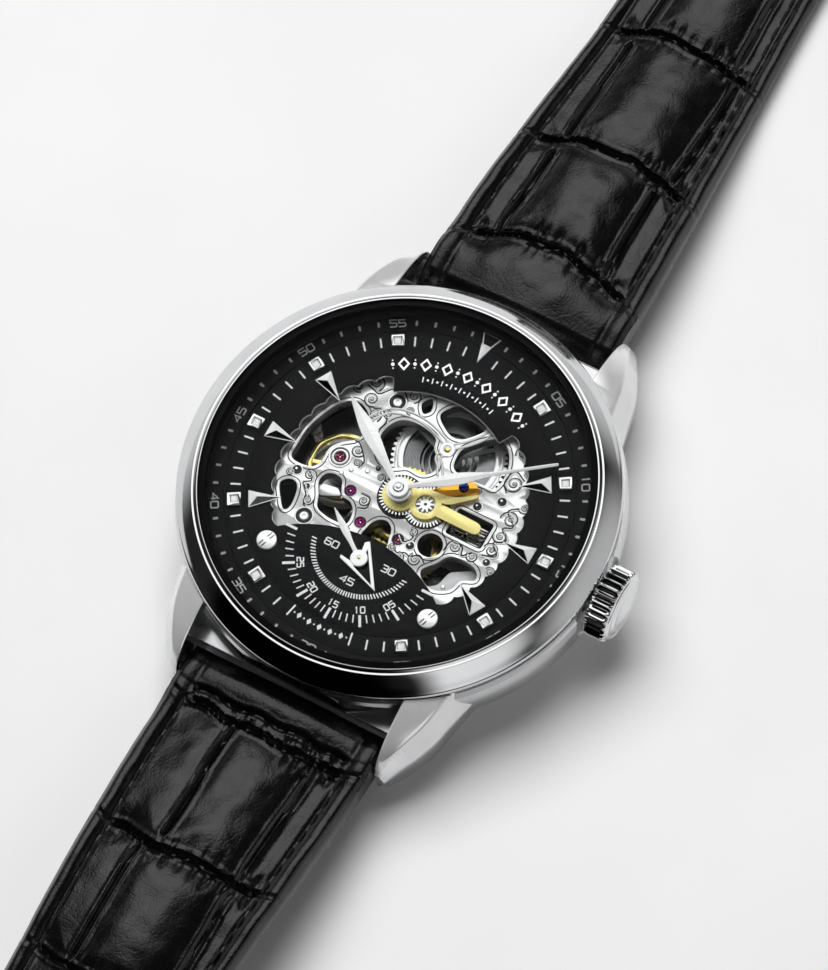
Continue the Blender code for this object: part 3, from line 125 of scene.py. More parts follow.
class Nodes:
    """A material's node tree, with short calls for the nodes that the finishes here are made of."""

    def __init__(self, name, colour, metallic=0.0, roughness=0.4):
        self.material = bpy.data.materials.new(name)
        self.material.use_nodes = True
        self.material.diffuse_color = (*colour, 1.0)
        self.tree = self.material.node_tree
        self.shader = self.tree.nodes["Principled BSDF"]
        self.colour = colour
        self.roughness = roughness
        self.set("Base Color", (*colour, 1.0))
        self.set("Metallic", metallic)
        self.set("Roughness", roughness)
        self.place = add_node(self.tree, "TexCoord", {}, "Object")

    def set(self, socket, value):
        self.shader.inputs[socket].default_value = value

    def link(self, output, socket):
        self.tree.links.new(output, self.shader.inputs[socket])

    def math(self, operation, *values):
        return add_node(self.tree, "Math", dict(enumerate(values)), operation=operation)

    def scaled(self, scale, turn=(0.0, 0.0, 0.0)):
        """Object coordinates in metres, scaled per axis."""
        scale = scale if isinstance(scale, tuple) else (scale,) * 3
        return add_node(self.tree, "Mapping", {"Vector": self.place, "Scale": scale, "Rotation": turn})

    def round_dial(self, round_scale, out_scale):
        """Polar coordinates about the dial's axis, for lines that run round it."""
        split = self.tree.nodes.new("ShaderNodeSeparateXYZ")
        self.tree.links.new(self.place, split.inputs[0])
        x, y, z = split.outputs
        angle = self.math("ARCTAN2", y, x)
        length = self.math("SQRT", self.math("ADD", self.math("MULTIPLY", x, x), self.math("MULTIPLY", y, y)))
        return add_node(self.tree, "CombineXYZ", {"X": self.math("MULTIPLY", angle, round_scale),
                                                  "Y": self.math("MULTIPLY", length, out_scale),
                                                  "Z": self.math("MULTIPLY", z, out_scale)})

    def noise(self, vector, detail=3.0, rough=0.55):
        return add_node(self.tree, "TexNoise", {"Vector": vector, "Scale": 1.0, "Detail": detail,
                                                "Roughness": rough}, "Fac")

    def cells(self, vector, feature="F1"):
        return add_node(self.tree, "TexVoronoi", {"Vector": vector, "Scale": 1.0}, "Distance", feature=feature)

    def bands(self, vector, scale):
        return add_node(self.tree, "TexWave", {"Vector": vector, "Scale": scale, "Distortion": 0.0}, "Fac",
                        wave_profile="SIN")

    def span(self, value, low, high, start=0.0, end=1.0):
        """Maps a value from start..end to low..high."""
        return add_node(self.tree, "MapRange", {"Value": value, "From Min": start, "From Max": end,
                                                "To Min": low, "To Max": high}, "Result")

    def ramp(self, value, stops):
        node = self.tree.nodes.new("ShaderNodeValToRGB")
        band = node.color_ramp
        for element, (spot, colour) in zip(band.elements, stops):
            element.position = spot
            element.color = (*colour, 1.0)
        self.tree.links.new(value, node.inputs["Fac"])
        return node.outputs["Color"]

    def bump(self, height, strength, distance_mm, under=None):
        inputs = {"Height": height, "Strength": strength, "Distance": distance_mm * MM}
        if under is not None:
            inputs["Normal"] = under
        return add_node(self.tree, "Bump", inputs)

    def shade(self, value, low, high):
        """Let the base colour run between a darker and a lighter shade of the finish's own."""
        stops = [(0.3, tuple(c * low for c in self.colour)),
                 (0.7, tuple(min(1.0, c * high) for c in self.colour))]
        self.link(self.ramp(value, stops), "Base Color")

    def dull(self, value, low, high, start=0.3):
        """Let the roughness run between two multiples of the finish's own."""
        self.link(self.span(value, self.roughness * low, self.roughness * high, start, 0.7), "Roughness")

    def relief(self, height, strength, distance_mm, under=None):
        self.link(self.bump(height, strength, distance_mm, under), "Normal")


def polished_metal(name, colour, roughness, wear=0.35):
    """Mirror-polished metal with faint hairlines and handling haze."""
    made = Nodes(name, colour, 1.0, roughness)
    haze = made.noise(made.scaled(260.0), detail=4.0)
    lines = made.noise(made.scaled((5200.0, 420.0, 420.0), (0.0, 0.0, 0.6)), detail=2.0)
    made.dull(haze, 0.7, 1.6, 0.35)
    made.shade(haze, 0.94, 1.03)
    made.relief(lines, wear, 0.0015)
    return made.material


def satin_metal(name, colour, roughness, round_lines=True):
    """Brushed metal, with lines that run round the case, or along x."""
    made = Nodes(name, colour, 1.0, roughness)
    stretch = made.round_dial(9.0, 26000.0) if round_lines else made.scaled((300.0, 16000.0, 16000.0))
    grain = made.noise(stretch, detail=2.0)
    made.dull(grain, 0.75, 1.3)
    made.shade(made.noise(made.scaled(300.0)), 0.93, 1.04)
    made.relief(grain, 0.3, 0.004)
    return made.material


def bright_metal(name, colour, roughness, mirror=0.12):
    """Frosted bright plating that stays pale from every side: its pale diffuse share is partly painted reflection,
    standing in for the bright surroundings that bare metal would mirror; mirror is the share of it that is bare metal.
    """
    made = Nodes(name, colour, mirror, roughness)
    grain = made.noise(made.scaled(9000.0))
    haze = made.noise(made.scaled(500.0))
    made.dull(haze, 0.8, 1.3)
    made.shade(haze, 0.93, 1.0)
    made.relief(grain, 0.15, 0.003)
    return made.material


def grained_metal(name, colour, roughness, grain_mm, depth=0.25, mirror=1.0, stripes=False):
    """Plated metal with a fine frosted grain, and on request the broad stripes of a finished bridge."""
    made = Nodes(name, colour, mirror, roughness)
    grain = made.noise(made.scaled(1.0 / (grain_mm * MM)), detail=4.0, rough=0.65)
    patches = made.noise(made.scaled(420.0))
    made.dull(patches, 0.7, 1.45)
    made.shade(patches, 0.9, 1.06)
    normal = made.bump(grain, depth, 0.006)
    if stripes:
        normal = made.bump(made.bands(made.scaled((1.0, 0.0, 0.0), (0.0, 0.0, 0.5)), 260.0), 0.4, 0.05, normal)
    made.link(normal, "Normal")
    return made.material


def dial_paint(name, colour, roughness):
    """Near-black satin paint with a very fine grain."""
    made = Nodes(name, colour, 0.0, roughness)
    fine = made.noise(made.scaled(9000.0))
    made.shade(made.noise(made.scaled(180.0), detail=2.0), 0.8, 1.3)
    made.dull(fine, 0.85, 1.2)
    made.relief(fine, 0.2, 0.003)
    made.set("Specular IOR Level", 0.06)
    return made.material


def printed_ink(name, colour):
    """Raised pad-printed ink with a slightly uneven surface."""
    made = Nodes(name, colour, 0.0, 0.45)
    fine = made.noise(made.scaled(4200.0))
    made.shade(fine, 0.86, 1.08)
    made.relief(fine, 0.3, 0.01)
    return made.material


def moulded(name, colour, roughness):
    """Rubber or moulded plastic with a fine mould texture."""
    made = Nodes(name, colour, 0.0, roughness)
    fine = made.noise(made.scaled(2600.0), detail=4.0)
    made.dull(fine, 0.8, 1.2)
    made.shade(fine, 0.8, 1.35)
    made.relief(fine, 0.25, 0.01)
    return made.material


def ruby_stone(name, dark, light):
    """Clear-coated red stone that is deeper in some places."""
    made = Nodes(name, (0.16, 0.006, 0.09), 0.0, 0.06)
    depth = made.noise(made.scaled(900.0), detail=2.0)
    made.link(made.ramp(depth, [(0.35, dark), (0.65, light)]), "Base Color")
    made.set("Coat Weight", 1.0)
    made.set("Coat Roughness", 0.03)
    made.set("Subsurface Weight", 0.15)
    made.set("Subsurface Scale", 0.0004)
    return made.material


def clear_glass(name, mirror, haze):
    """Coated sapphire: clear all through, with a faint reflection that grows at a slant."""
    material = bpy.data.materials.new(name)
    material.use_nodes = True
    material.diffuse_color = (0.9, 0.95, 1.0, 0.15)
    tree = material.node_tree
    tree.nodes.remove(tree.nodes["Principled BSDF"])
    place = add_node(tree, "TexCoord", {}, "Object")
    smear = add_node(tree, "TexNoise", {"Vector": place, "Scale": 160.0}, "Fac")
    rough = add_node(tree, "MapRange", {"Value": smear, "To Min": haze * 0.5, "To Max": haze * 1.5})
    facing = add_node(tree, "LayerWeight", {"Blend": 0.12}, "Fresnel")
    share = add_node(tree, "MapRange", {"Value": facing, "To Min": mirror, "To Max": 0.35})
    clear = add_node(tree, "BsdfTransparent", {"Color": (0.985, 0.99, 0.99, 1.0)})
    gloss = add_node(tree, "BsdfGlossy", {"Roughness": rough})
    mix = add_node(tree, "MixShader", {"Fac": share, 1: clear, 2: gloss})
    tree.links.new(mix, tree.nodes["Material Output"].inputs["Surface"])
    return material


def glossy_leather(name, colour):
    """Black glazed calf: fine pores and crinkles, duller where it is rubbed."""
    made = Nodes(name, colour, 0.0, 0.28)
    pores = made.cells(made.scaled(3800.0))
    crinkle = made.cells(made.scaled((1500.0, 1150.0, 1500.0)), feature="DISTANCE_TO_EDGE")
    folds = made.noise(made.scaled(700.0), detail=5.0, rough=0.6)
    made.shade(made.noise(made.scaled(150.0)), 0.6, 1.9)
    made.link(made.span(folds, 0.2, 0.3, 0.3, 0.7), "Roughness")
    normal = made.bump(folds, 0.25, 0.06)
    normal = made.bump(made.span(crinkle, 0.0, 1.0, 0.0, 0.12), 0.3, 0.02, normal)
    made.relief(pores, 0.35, 0.02, normal)
    made.set("Specular IOR Level", 0.7)
    return made.material


def lining_leather(name, colour):
    """Soft black nubuck of the strap's underside."""
    made = Nodes(name, colour, 0.0, 0.75)
    nap = made.noise(made.scaled(3200.0), detail=5.0, rough=0.7)
    made.shade(made.noise(made.scaled(130.0)), 0.7, 1.5)
    made.relief(nap, 0.5, 0.03)
    made.set("Sheen Weight", 0.25)
    made.set("Sheen Roughness", 0.5)
    return made.material


def waxed_thread(name, colour):
    """Twisted waxed thread of the stitching."""
    made = Nodes(name, colour, 0.0, 0.4)
    twist = made.bands(made.scaled((2200.0, 2200.0, 2200.0), (0.0, 0.0, 0.7)), 1.0)
    made.shade(twist, 0.6, 1.6)
    made.relief(twist, 0.6, 0.05)
    return made.material


STEEL = (0.76, 0.765, 0.775)
NICKEL = (0.80, 0.80, 0.79)
BRIGHT_NICKEL = (0.93, 0.93, 0.925)
FINISH_ROWS = (
    (polished_metal, (
        ("mirror_steel", STEEL, 0.07, 0.2),
        ("hand_steel", (0.86, 0.86, 0.865), 0.12, 0.25),
        ("shadow_metal", (0.07, 0.07, 0.073), 0.2, 0.2),
        ("spring_steel", (0.36, 0.365, 0.375), 0.3, 0.4),
        ("gilt_bright", (0.98, 0.82, 0.3), 0.16, 0.3),
        ("amber", (0.86, 0.42, 0.05), 0.12, 0.3),
        ("blued_steel", (0.02, 0.04, 0.2), 0.15, 0.3),
    )),
    (bright_metal, (
        ("white_metal", (0.97, 0.97, 0.97), 0.3),
        ("lug_steel", (0.86, 0.86, 0.87), 0.16, 0.5),
        ("cover_gilt", (1.0, 0.87, 0.33), 0.25, 0.15),
        ("nickel_bright", BRIGHT_NICKEL, 0.13, 0.6),
        ("satin_grey", (0.62, 0.62, 0.63), 0.4),
    )),
    (satin_metal, (
        ("satin_case", (0.7, 0.705, 0.715), 0.2),
        ("satin_bar", STEEL, 0.3, False),
        ("satin_back", STEEL, 0.26),
    )),
    (grained_metal, (
        # The plate's nickel is half bare metal: its pale diffuse half is partly painted reflection, keeping it bright
        # from every side.
        ("nickel_plate", BRIGHT_NICKEL, 0.18, 0.09, 0.18, 0.5),
        ("nickel_striped", NICKEL, 0.24, 0.08, 0.25, 1.0, True),
        # bridge_inside is painted shade: dark nickel for faces under the plate and deep in its windows.
        ("bridge_inside", (0.3, 0.3, 0.305), 0.36, 0.08, 0.2),
        ("gilt", (0.95, 0.77, 0.27), 0.22, 0.07),
    )),
    (moulded, (
        # dark_line is painted shade: near-black put in grooves, holes, slots and gaps where shade falls.
        ("dark_line", (0.02, 0.02, 0.022), 0.5),
        ("holder_black", (0.01, 0.01, 0.0105), 0.5),
        ("rubber", (0.011, 0.011, 0.0115), 0.55),
    )),
    (dial_paint, (
        ("dial_black", (0.0075, 0.0075, 0.008), 0.42),
        ("rehaut_black", (0.006, 0.006, 0.0065), 0.3),
    )),
    (printed_ink, (
        ("white_ink", (0.82, 0.82, 0.82)),
        ("grey_ink", (0.42, 0.42, 0.42)),
    )),
    (clear_glass, (
        ("crystal_glass", 0.001, 0.02),
        ("back_window", 0.03, 0.02),
    )),
    (ruby_stone, (("ruby_stone", (0.07, 0.003, 0.045), (0.26, 0.012, 0.15)),)),
    (glossy_leather, (("glossy_leather", (0.001, 0.001, 0.0011)),)),
    (lining_leather, (("lining_leather", (0.022, 0.020, 0.019)),)),
    (waxed_thread, (("waxed_thread", (0.006, 0.006, 0.0065)),)),
)
FINISH = {name: maker(name, *values) for maker, rows in FINISH_ROWS for name, *values in rows}


# ---------------------------------------------------------------- outlines, in the plane of the dial

def polar(radius, degrees, centre=(0.0, 0.0)):
    """Point at a radius and an angle that runs from +X towards +Y."""
    angle = math.radians(degrees)
    return (centre[0] + radius * math.cos(angle), centre[1] + radius * math.sin(angle))


def arc(radius, start, end, count, centre=(0.0, 0.0)):
    """Points along an arc from one angle to another."""
    step = (end - start) / (count - 1)
    return [polar(radius, start + step * i, centre) for i in range(count)]


def circle(radius, centre=(0.0, 0.0), count=48):
    """Closed outline of a circle."""
    return [polar(radius, 360.0 * i / count, centre) for i in range(count)]


def curve_through(points, cuts, closed=False):
    """Catmull-Rom curve through points of any dimension."""
    spots = [Vector(point) for point in points]
    count = len(spots)
    if closed:
        padded = [spots[-1], *spots, spots[0], spots[1]]
        spans = count
    else:
        padded = [2.0 * spots[0] - spots[1], *spots, 2.0 * spots[-1] - spots[-2]]
        spans = count - 1
    result = []
    for i in range(spans):
        p0, p1, p2, p3 = padded[i:i + 4]
        for j in range(cuts):
            t = j / cuts
            result.append(0.5 * (2.0 * p1 + (p2 - p0) * t + (2.0 * p0 - 5.0 * p1 + 4.0 * p2 - p3) * t * t
                                 + (3.0 * p1 - p0 - 3.0 * p2 + p3) * t ** 3))
    if not closed:
        result.append(spots[-1])
    return result


def smooth_loop(points, cuts=6):
    """Closed smooth outline through a few points."""
    return [tuple(point) for point in curve_through(points, cuts, closed=True)]


def rounded(outline, reach, steps=4):
    """Closed outline with each corner replaced by a curve that starts reach away from it."""
    result = []
    count = len(outline)
    for i in range(count):
        before, corner, after = (Vector(outline[(i + k - 1) % count]) for k in range(3))
        start = corner + (before - corner).normalized() * min(reach, (before - corner).length * 0.45)
        end = corner + (after - corner).normalized() * min(reach, (after - corner).length * 0.45)
        for j in range(steps + 1):
            t = j / steps
            result.append(tuple(start * (1.0 - t) ** 2 + corner * 2.0 * t * (1.0 - t) + end * t * t))
    return result


def ease(value, low, high):
    """Smooth step from 0 at low to 1 at high."""
    share = min(1.0, max(0.0, (value - low) / (high - low)))
    return share * share * (3.0 - 2.0 * share)


# ---------------------------------------------------------------- meshes

def mesh_object(name, vertices, faces):
    """Object from vertices in millimetres, with heights from the dial's face and faces turned outwards."""
    mesh = bpy.data.meshes.new(name)
    mesh.from_pydata([(x * MM, y * MM, (z + DIAL_Z) * MM) for x, y, z in vertices], [], faces)
    work = bmesh.new()
    work.from_mesh(mesh)
    bmesh.ops.recalc_face_normals(work, faces=work.faces)
    work.to_mesh(mesh)
    work.free()
    made = bpy.data.objects.new(name, mesh)
    bpy.context.scene.collection.objects.link(made)
    return made


def prism(name, outlines, bottom, top):
    """Upright plate. The first outline is its edge and the others are holes."""
    flat = [point for outline in outlines for point in outline]
    count = len(flat)
    vertices = [(x, y, bottom) for x, y in flat] + [(x, y, top) for x, y in flat]
    faces = []
    loops = [[Vector((x, y, 0.0)) for x, y in outline] for outline in outlines]
    for a, b, c in tessellate_polygon(loops):
        faces.append((a, b, c))
        faces.append((a + count, b + count, c + count))
    first = 0
    for outline in outlines:
        size = len(outline)
        for i in range(size):
            a = first + i
            b = first + (i + 1) % size
            faces.append((a, b, b + count, a + count))
        first += size
    return mesh_object(name, vertices, faces)


def turned(name, profile, centre=(0.0, 0.0), segments=128, along_x=False):
    """Body of revolution from (radius, height) pairs, or (radius, x) about the stem's axis."""
    rows = []
    vertices = []
    for radius, height in profile:
        spots = 1 if radius == 0.0 else segments
        row = []
        for i in range(spots):
            angle = 2.0 * math.pi * i / segments
            across = radius * math.cos(angle)
            up = radius * math.sin(angle)
            row.append(len(vertices))
            if along_x:
                vertices.append((height, across, STEM_Z + up))
            else:
                vertices.append((centre[0] + across, centre[1] + up, height))
        rows.append(row)
    full = profile[0][0] == 0.0
    faces = []
    for k in range(len(rows) - 1 if full else len(rows)):
        low = rows[k]
        high = rows[(k + 1) % len(rows)]
        for i in range(segments):
            j = (i + 1) % segments
            corners = [low[i % len(low)], low[j % len(low)], high[j % len(high)], high[i % len(high)]]
            unique = list(dict.fromkeys(corners))
            if len(unique) > 2:
                faces.append(unique)
    return mesh_object(name, vertices, faces)


def loft(name, sections, closed=False):
    """Skin over sections with equal numbers of points."""
    size = len(sections[0])
    vertices = [point for section in sections for point in section]
    faces = []
    for k in range(len(sections) if closed else len(sections) - 1):
        low = k * size
        high = (k + 1) % len(sections) * size
        for i in range(size):
            j = (i + 1) % size
            faces.append((low + i, low + j, high + j, high + i))
    if not closed:
        faces.append(tuple(range(size)))
        faces.append(tuple(range((len(sections) - 1) * size, len(sections) * size)))
    return mesh_object(name, vertices, faces)


def bent_plate(outline, bottom, top):
    """Upright plate with rounded corners."""
    return prism("plate", [rounded(outline, 0.3, 4)], bottom, top)


def rod_x(name, radius, start, end, y, z, segments=40):
    """Cylinder that lies along X."""
    sections = [[(x, y + radius * math.cos(2.0 * math.pi * i / segments),
                  z + radius * math.sin(2.0 * math.pi * i / segments)) for i in range(segments)]
                for x in (start, end)]
    return loft(name, sections)


def block(name, low, high):
    """Box between two corners."""
    corners = [(x, y, z) for x in (low[0], high[0]) for y in (low[1], high[1]) for z in (low[2], high[2])]
    return mesh_object(name, corners, [(0, 1, 3, 2), (4, 6, 7, 5), (0, 4, 5, 1), (2, 3, 7, 6), (0, 2, 6, 4),
                                       (1, 5, 7, 3)])


def baked(piece):
    """Apply a piece's modifiers to its mesh."""
    bpy.context.view_layer.update()
    depsgraph = bpy.context.evaluated_depsgraph_get()
    mesh = bpy.data.meshes.new_from_object(piece.evaluated_get(depsgraph))
    piece.modifiers.clear()
    piece.data = mesh
    return piece


def combine(base, others, operation):
    """Boolean of base with each of the others, which are used up."""
    for other in others:
        modifier = base.modifiers.new("combine", "BOOLEAN")
        modifier.operation = operation
        modifier.solver = "EXACT"
        modifier.object = other
        baked(base)
        bpy.data.objects.remove(other)
    return base


def union(base, *others):
    """Add other closed pieces to the first one."""
    return combine(base, others, "UNION")


def cut(base, *others):
    """Take other closed pieces away from the first one."""
    return combine(base, others, "DIFFERENCE")


def join(name, pieces):
    """One object from several that needn't touch."""
    work = bmesh.new()
    for piece in pieces:
        work.from_mesh(piece.data)
        bpy.data.objects.remove(piece)
    mesh = bpy.data.meshes.new(name)
    work.to_mesh(mesh)
    work.free()
    made = bpy.data.objects.new(name, mesh)
    bpy.context.scene.collection.objects.link(made)
    return made


def soften(piece, width, segments=2, angle=32.0):
    """Round a piece's sharp edges over a width in millimetres."""
    work = bmesh.new()
    work.from_mesh(piece.data)
    bmesh.ops.remove_doubles(work, verts=work.verts, dist=0.000002)
    bmesh.ops.dissolve_limit(work, angle_limit=math.radians(0.5), verts=work.verts, edges=work.edges)
    work.to_mesh(piece.data)
    work.free()
    modifier = piece.modifiers.new("soften", "BEVEL")
    modifier.width = width * MM
    modifier.segments = segments
    modifier.limit_method = "ANGLE"
    modifier.angle_limit = math.radians(angle)
    modifier.use_clamp_overlap = True
    modifier.harden_normals = False
    return baked(piece)


def show(piece, name, finish, body, stands_for=(), crease=32.0):
    """Name a finished piece, give it its finish, smooth its round faces and put it on its body."""
    piece.name = name
    piece.data.name = name
    piece.data.materials.clear()
    piece.data.materials.append(FINISH[finish])
    piece.data.shade_smooth()
    piece.data.set_sharp_from_angle(angle=math.radians(crease))
    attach(piece, body)
    if stands_for:
        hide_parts(*([stands_for] if isinstance(stands_for, str) else stands_for))
    return piece


def refined(node, finish, body, slot, width, segments=2):
    """The CAD node's own shape with its edges rounded, in place of the node."""
    source = frame["nodes"][node]
    copy = bpy.data.objects.new(node + "_fine", source.data.copy())
    bpy.context.scene.collection.objects.link(copy)
    soften(copy, width, segments)
    return show(copy, node + "_fine", finish, body, node)


def at_angle(degrees, centre=(0.0, 0.0)):
    """Function that puts (across, outwards) on the plan, for marks that stand at a clock angle."""
    out = Vector((math.sin(math.radians(degrees)), math.cos(math.radians(degrees))))
    side = Vector((out.y, -out.x))

    def place(across, outwards):
        spot = Vector(centre) + side * across + out * outwards
        return (spot.x, spot.y)

    return place


def patch(place, half, start, end, middle=0.0):
    """Corners of an upright rectangle at a clock angle, half as wide as given, from start to end outwards."""
    return [place(middle - half, start), place(middle + half, start), place(middle + half, end),
            place(middle - half, end)]


# ---------------------------------------------------------------- case

def lug(side_x, side_y):
    """One lug, swept outwards from inside the case to its tip, with a broad top and a ridge along it."""
    # Distance along y, inner top, ridge x and z, flank x and z, underside.
    stations = [
        (13.0, 0.9, 14.8, 0.3, 16.6, -3.0, -6.6),
        (16.0, 0.9, 14.5, 0.3, 15.9, -3.0, -7.0),
        (18.0, 0.8, 14.2, 0.2, 15.4, -3.0, -7.4),
        (20.0, 0.4, 13.7, -0.2, 14.9, -3.2, -7.9),
        (22.0, -0.3, 12.9, -0.8, 14.0, -3.6, -8.3),
        (23.5, -1.2, 12.2, -1.6, 13.1, -4.1, -8.5),
        (24.6, -2.4, 11.7, -2.8, 12.4, -4.8, -8.3),
        (25.2, -4.0, 11.5, -4.3, 12.0, -5.4, -7.2),
    ]
    inner = LUG_GAP / 2.0
    sections = []
    for y, top, ridge_x, ridge_z, flank_x, flank_z, under in curve_through(stations, 6):
        outline = [(inner, under), (inner, top), (ridge_x, ridge_z), (flank_x, flank_z),
                   (flank_x - 0.4, under + 0.7)]
        sections.append([(side_x * x, side_y * y, z) for x, z in rounded(outline, 0.35, 3)])
    return loft("lug", sections)


def case_band():
    """Middle case: a turned band with lugs and end shelves, less its seats, holes and the crown's recess."""
    profile = curve_through([(21.9, -0.75), (CASE_RADIUS, -2.5), (21.7, -5.0), (20.8, -6.9), (19.7, -7.65)], 5)
    band = turned("band", [(0.0, -0.1), (21.1, -0.1), (21.2, -0.22), (21.25, -0.42), (21.7, -0.45),
                           *[tuple(p) for p in profile], (19.5, -7.7), (0.0, -7.7)], segments=192)
    lugs = [lug(side_x, side_y) for side_x in (-1.0, 1.0) for side_y in (-1.0, 1.0)]
    half_gap = LUG_GAP / 2.0 + 0.5
    shelves = [block("shelf", (-half_gap, 14.0, -7.0), (half_gap, END_FLAT_Y + 0.5, -3.2)),
               block("shelf", (-half_gap, -END_FLAT_Y - 0.5, -7.0), (half_gap, -14.0, -3.2))]
    union(band, *lugs, *shelves)
    seat = turned("seat", [(0.0, 3.0), (21.05, 3.0), (21.05, -0.3), (19.1, -0.3), (19.1, -0.45), (17.3, -0.45),
                           (17.3, -7.02), (18.2, -7.02), (18.2, -8.0), (0.0, -8.0)], segments=192)
    above = turned("above", [(0.0, 3.0), (21.72, 3.0), (21.72, -0.05), (0.0, -0.05)], segments=192)
    flats = [block("flat", (-LUG_GAP / 2.0, END_FLAT_Y, -9.0), (LUG_GAP / 2.0, 30.0, 3.0)),
             block("flat", (-LUG_GAP / 2.0, -30.0, -9.0), (LUG_GAP / 2.0, -END_FLAT_Y, 3.0))]
    bar_holes = [rod_x("hole", 0.5, -12.2, 12.2, side * BAR_Y, BAR_Z, 20) for side in (-1.0, 1.0)]
    tube_hole = rod_x("hole", 1.45, 16.0, 24.0, 0.0, STEM_Z)
    recess = rod_x("hole", CROWN_RADIUS + 0.5, 21.3, 26.0, 0.0, STEM_Z, 64)
    cut(band, seat, above, *flats, *bar_holes, tube_hole, recess)
    show(band, "case_middle", "satin_case", "case", "case_band", 28.0)
    polish_lugs(band.data)


def polish_lugs(mesh):
    """Polish the lugs' broad top facets: each face that looks up, clear of the band, gets a pale half-diffuse finish,
    partly painted reflection.
    """
    mesh.materials.append(FINISH["lug_steel"])
    for face in mesh.polygons:
        spot = face.center / MM
        beyond = math.hypot(spot.x, spot.y) > CASE_RADIUS - 0.35
        if beyond and face.normal.z > 0.3 and abs(spot.x) > LUG_GAP / 2.0 + 0.05:
            face.material_index = 1


def case_end_edges():
    """Bright edges of the flat ends between the lugs."""
    pieces = []
    for side in (-1.0, 1.0):
        top = [(5.4, -2.4), (5.2, -1.3), (4.9, -0.8), (3.0, -0.5), (0.0, -0.45)]
        line = [(-x, z) for x, z in top] + [(x, z) for x, z in reversed(top[:-1])]
        line = [(-10.9, -3.2), (-5.8, -3.2)] + line + [(5.8, -3.2), (10.9, -3.2)]
        pieces.append(wire([(x, side * (END_FLAT_Y - 0.03), z) for x, z in line], 0.07, sides=8))
    show(join("edges", pieces), "case_end_edges", "mirror_steel", "case", crease=60.0)


def bezel():
    """Polished ring with a sloping face round the glass."""
    slope = [tuple(p) for p in curve_through([(19.5, 2.78), (20.2, 2.3), (20.9, 1.72), (21.48, 1.14)], 6)]
    ring = [(19.45, 0.0), (19.45, 1.85), (19.9, 1.85), (19.9, 2.63), (19.26, 2.63), (19.26, 2.72), (19.32, 2.8),
            (19.44, 2.8), *slope, (BEZEL_RADIUS - 0.03, 1.02), (BEZEL_RADIUS, 0.94), (BEZEL_RADIUS, 0.3),
            (BEZEL_RADIUS - 0.1, 0.12), (21.45, 0.05), (21.3, 0.0)]
    show(turned("ring", ring, segments=256), "bezel_ring", "mirror_steel", "case", "bezel", 40.0)


def crystal():
    """Domed glass with a bevelled edge, its seal, and a dark ring inside it under the bevel: painted shade for the
    dark band that the bevel shows.
    """
    rise = 0.45
    dome = [(CRYSTAL_RADIUS * share, 2.95 + rise * (1.0 - share * share))
            for share in (0.96, 0.9, 0.8, 0.65, 0.5, 0.3, 0.15)]
    glass = [(0.0, 2.0), (CRYSTAL_RADIUS, 2.0), (CRYSTAL_RADIUS, 2.4), (19.25, 2.58), (19.0, 2.84), *dome,
             (0.0, 3.4)]
    show(turned("glass", glass, segments=192), "domed_crystal", "crystal_glass", "case", "crystal", 20.0)
    gasket = rounded([(19.55, 1.95), (19.85, 1.95), (19.85, 2.6), (19.55, 2.6)], 0.08)
    show(turned("gasket", gasket, segments=192), "crystal_seal", "rubber", "case", "crystal_gasket")
    # Painted shade: this dark ring under the bevel stands in for the dark band the glass edge shows.
    edge = [(18.62, 2.72), (18.62, 2.66), (19.45, 2.2), (19.45, 2.3)]
    show(turned("edge", edge, segments=256), "crystal_edge_shade", "rehaut_black", "case")


def chapter_ring():
    """Dark ring under the glass, in steps down to the dial."""
    chapter = [(18.55, 0.08), (19.38, 0.08), (19.38, 1.85), (19.2, 1.85), (19.1, 1.35), (19.0, 1.3), (18.9, 0.75),
               (18.8, 0.7), (18.7, 0.2)]
    show(turned("chapter", chapter, segments=256), "chapter_ring", "rehaut_black", "case", "rehaut")


def case_back():
    """Screwed ring with six key notches, and the window in it."""
    back = [(14.55, BACK_FACE + 0.08), (14.7, BACK_FACE), (18.4, BACK_FACE), (18.9, BACK_FACE + 0.15), (19.4, -9.0),
            (19.4, -7.8), (19.0, -7.8), (19.0, -8.05), (18.1, -8.05), (18.1, -7.07), (15.5, -7.07), (15.5, -8.1),
            (13.9, -8.1), (13.9, -8.35), (14.55, -8.35)]
    notches = [prism("notch", [patch(at_angle(30.0 + 60.0 * i), 0.9, 18.0, 19.8)], BACK_FACE - 0.5,
                     BACK_FACE + 0.45) for i in range(6)]
    ring = cut(turned("back", back, segments=192), join("notches", notches))
    show(ring, "back_ring", "satin_back", "case", "case_back")
    window = [(0.0, BACK_FACE + 0.02), (14.2, BACK_FACE + 0.02), (14.45, BACK_FACE + 0.2), (14.45, -8.4),
              (0.0, -8.4)]
    show(turned("window", window, segments=160), "back_pane", "back_window", "case", "back_glass")


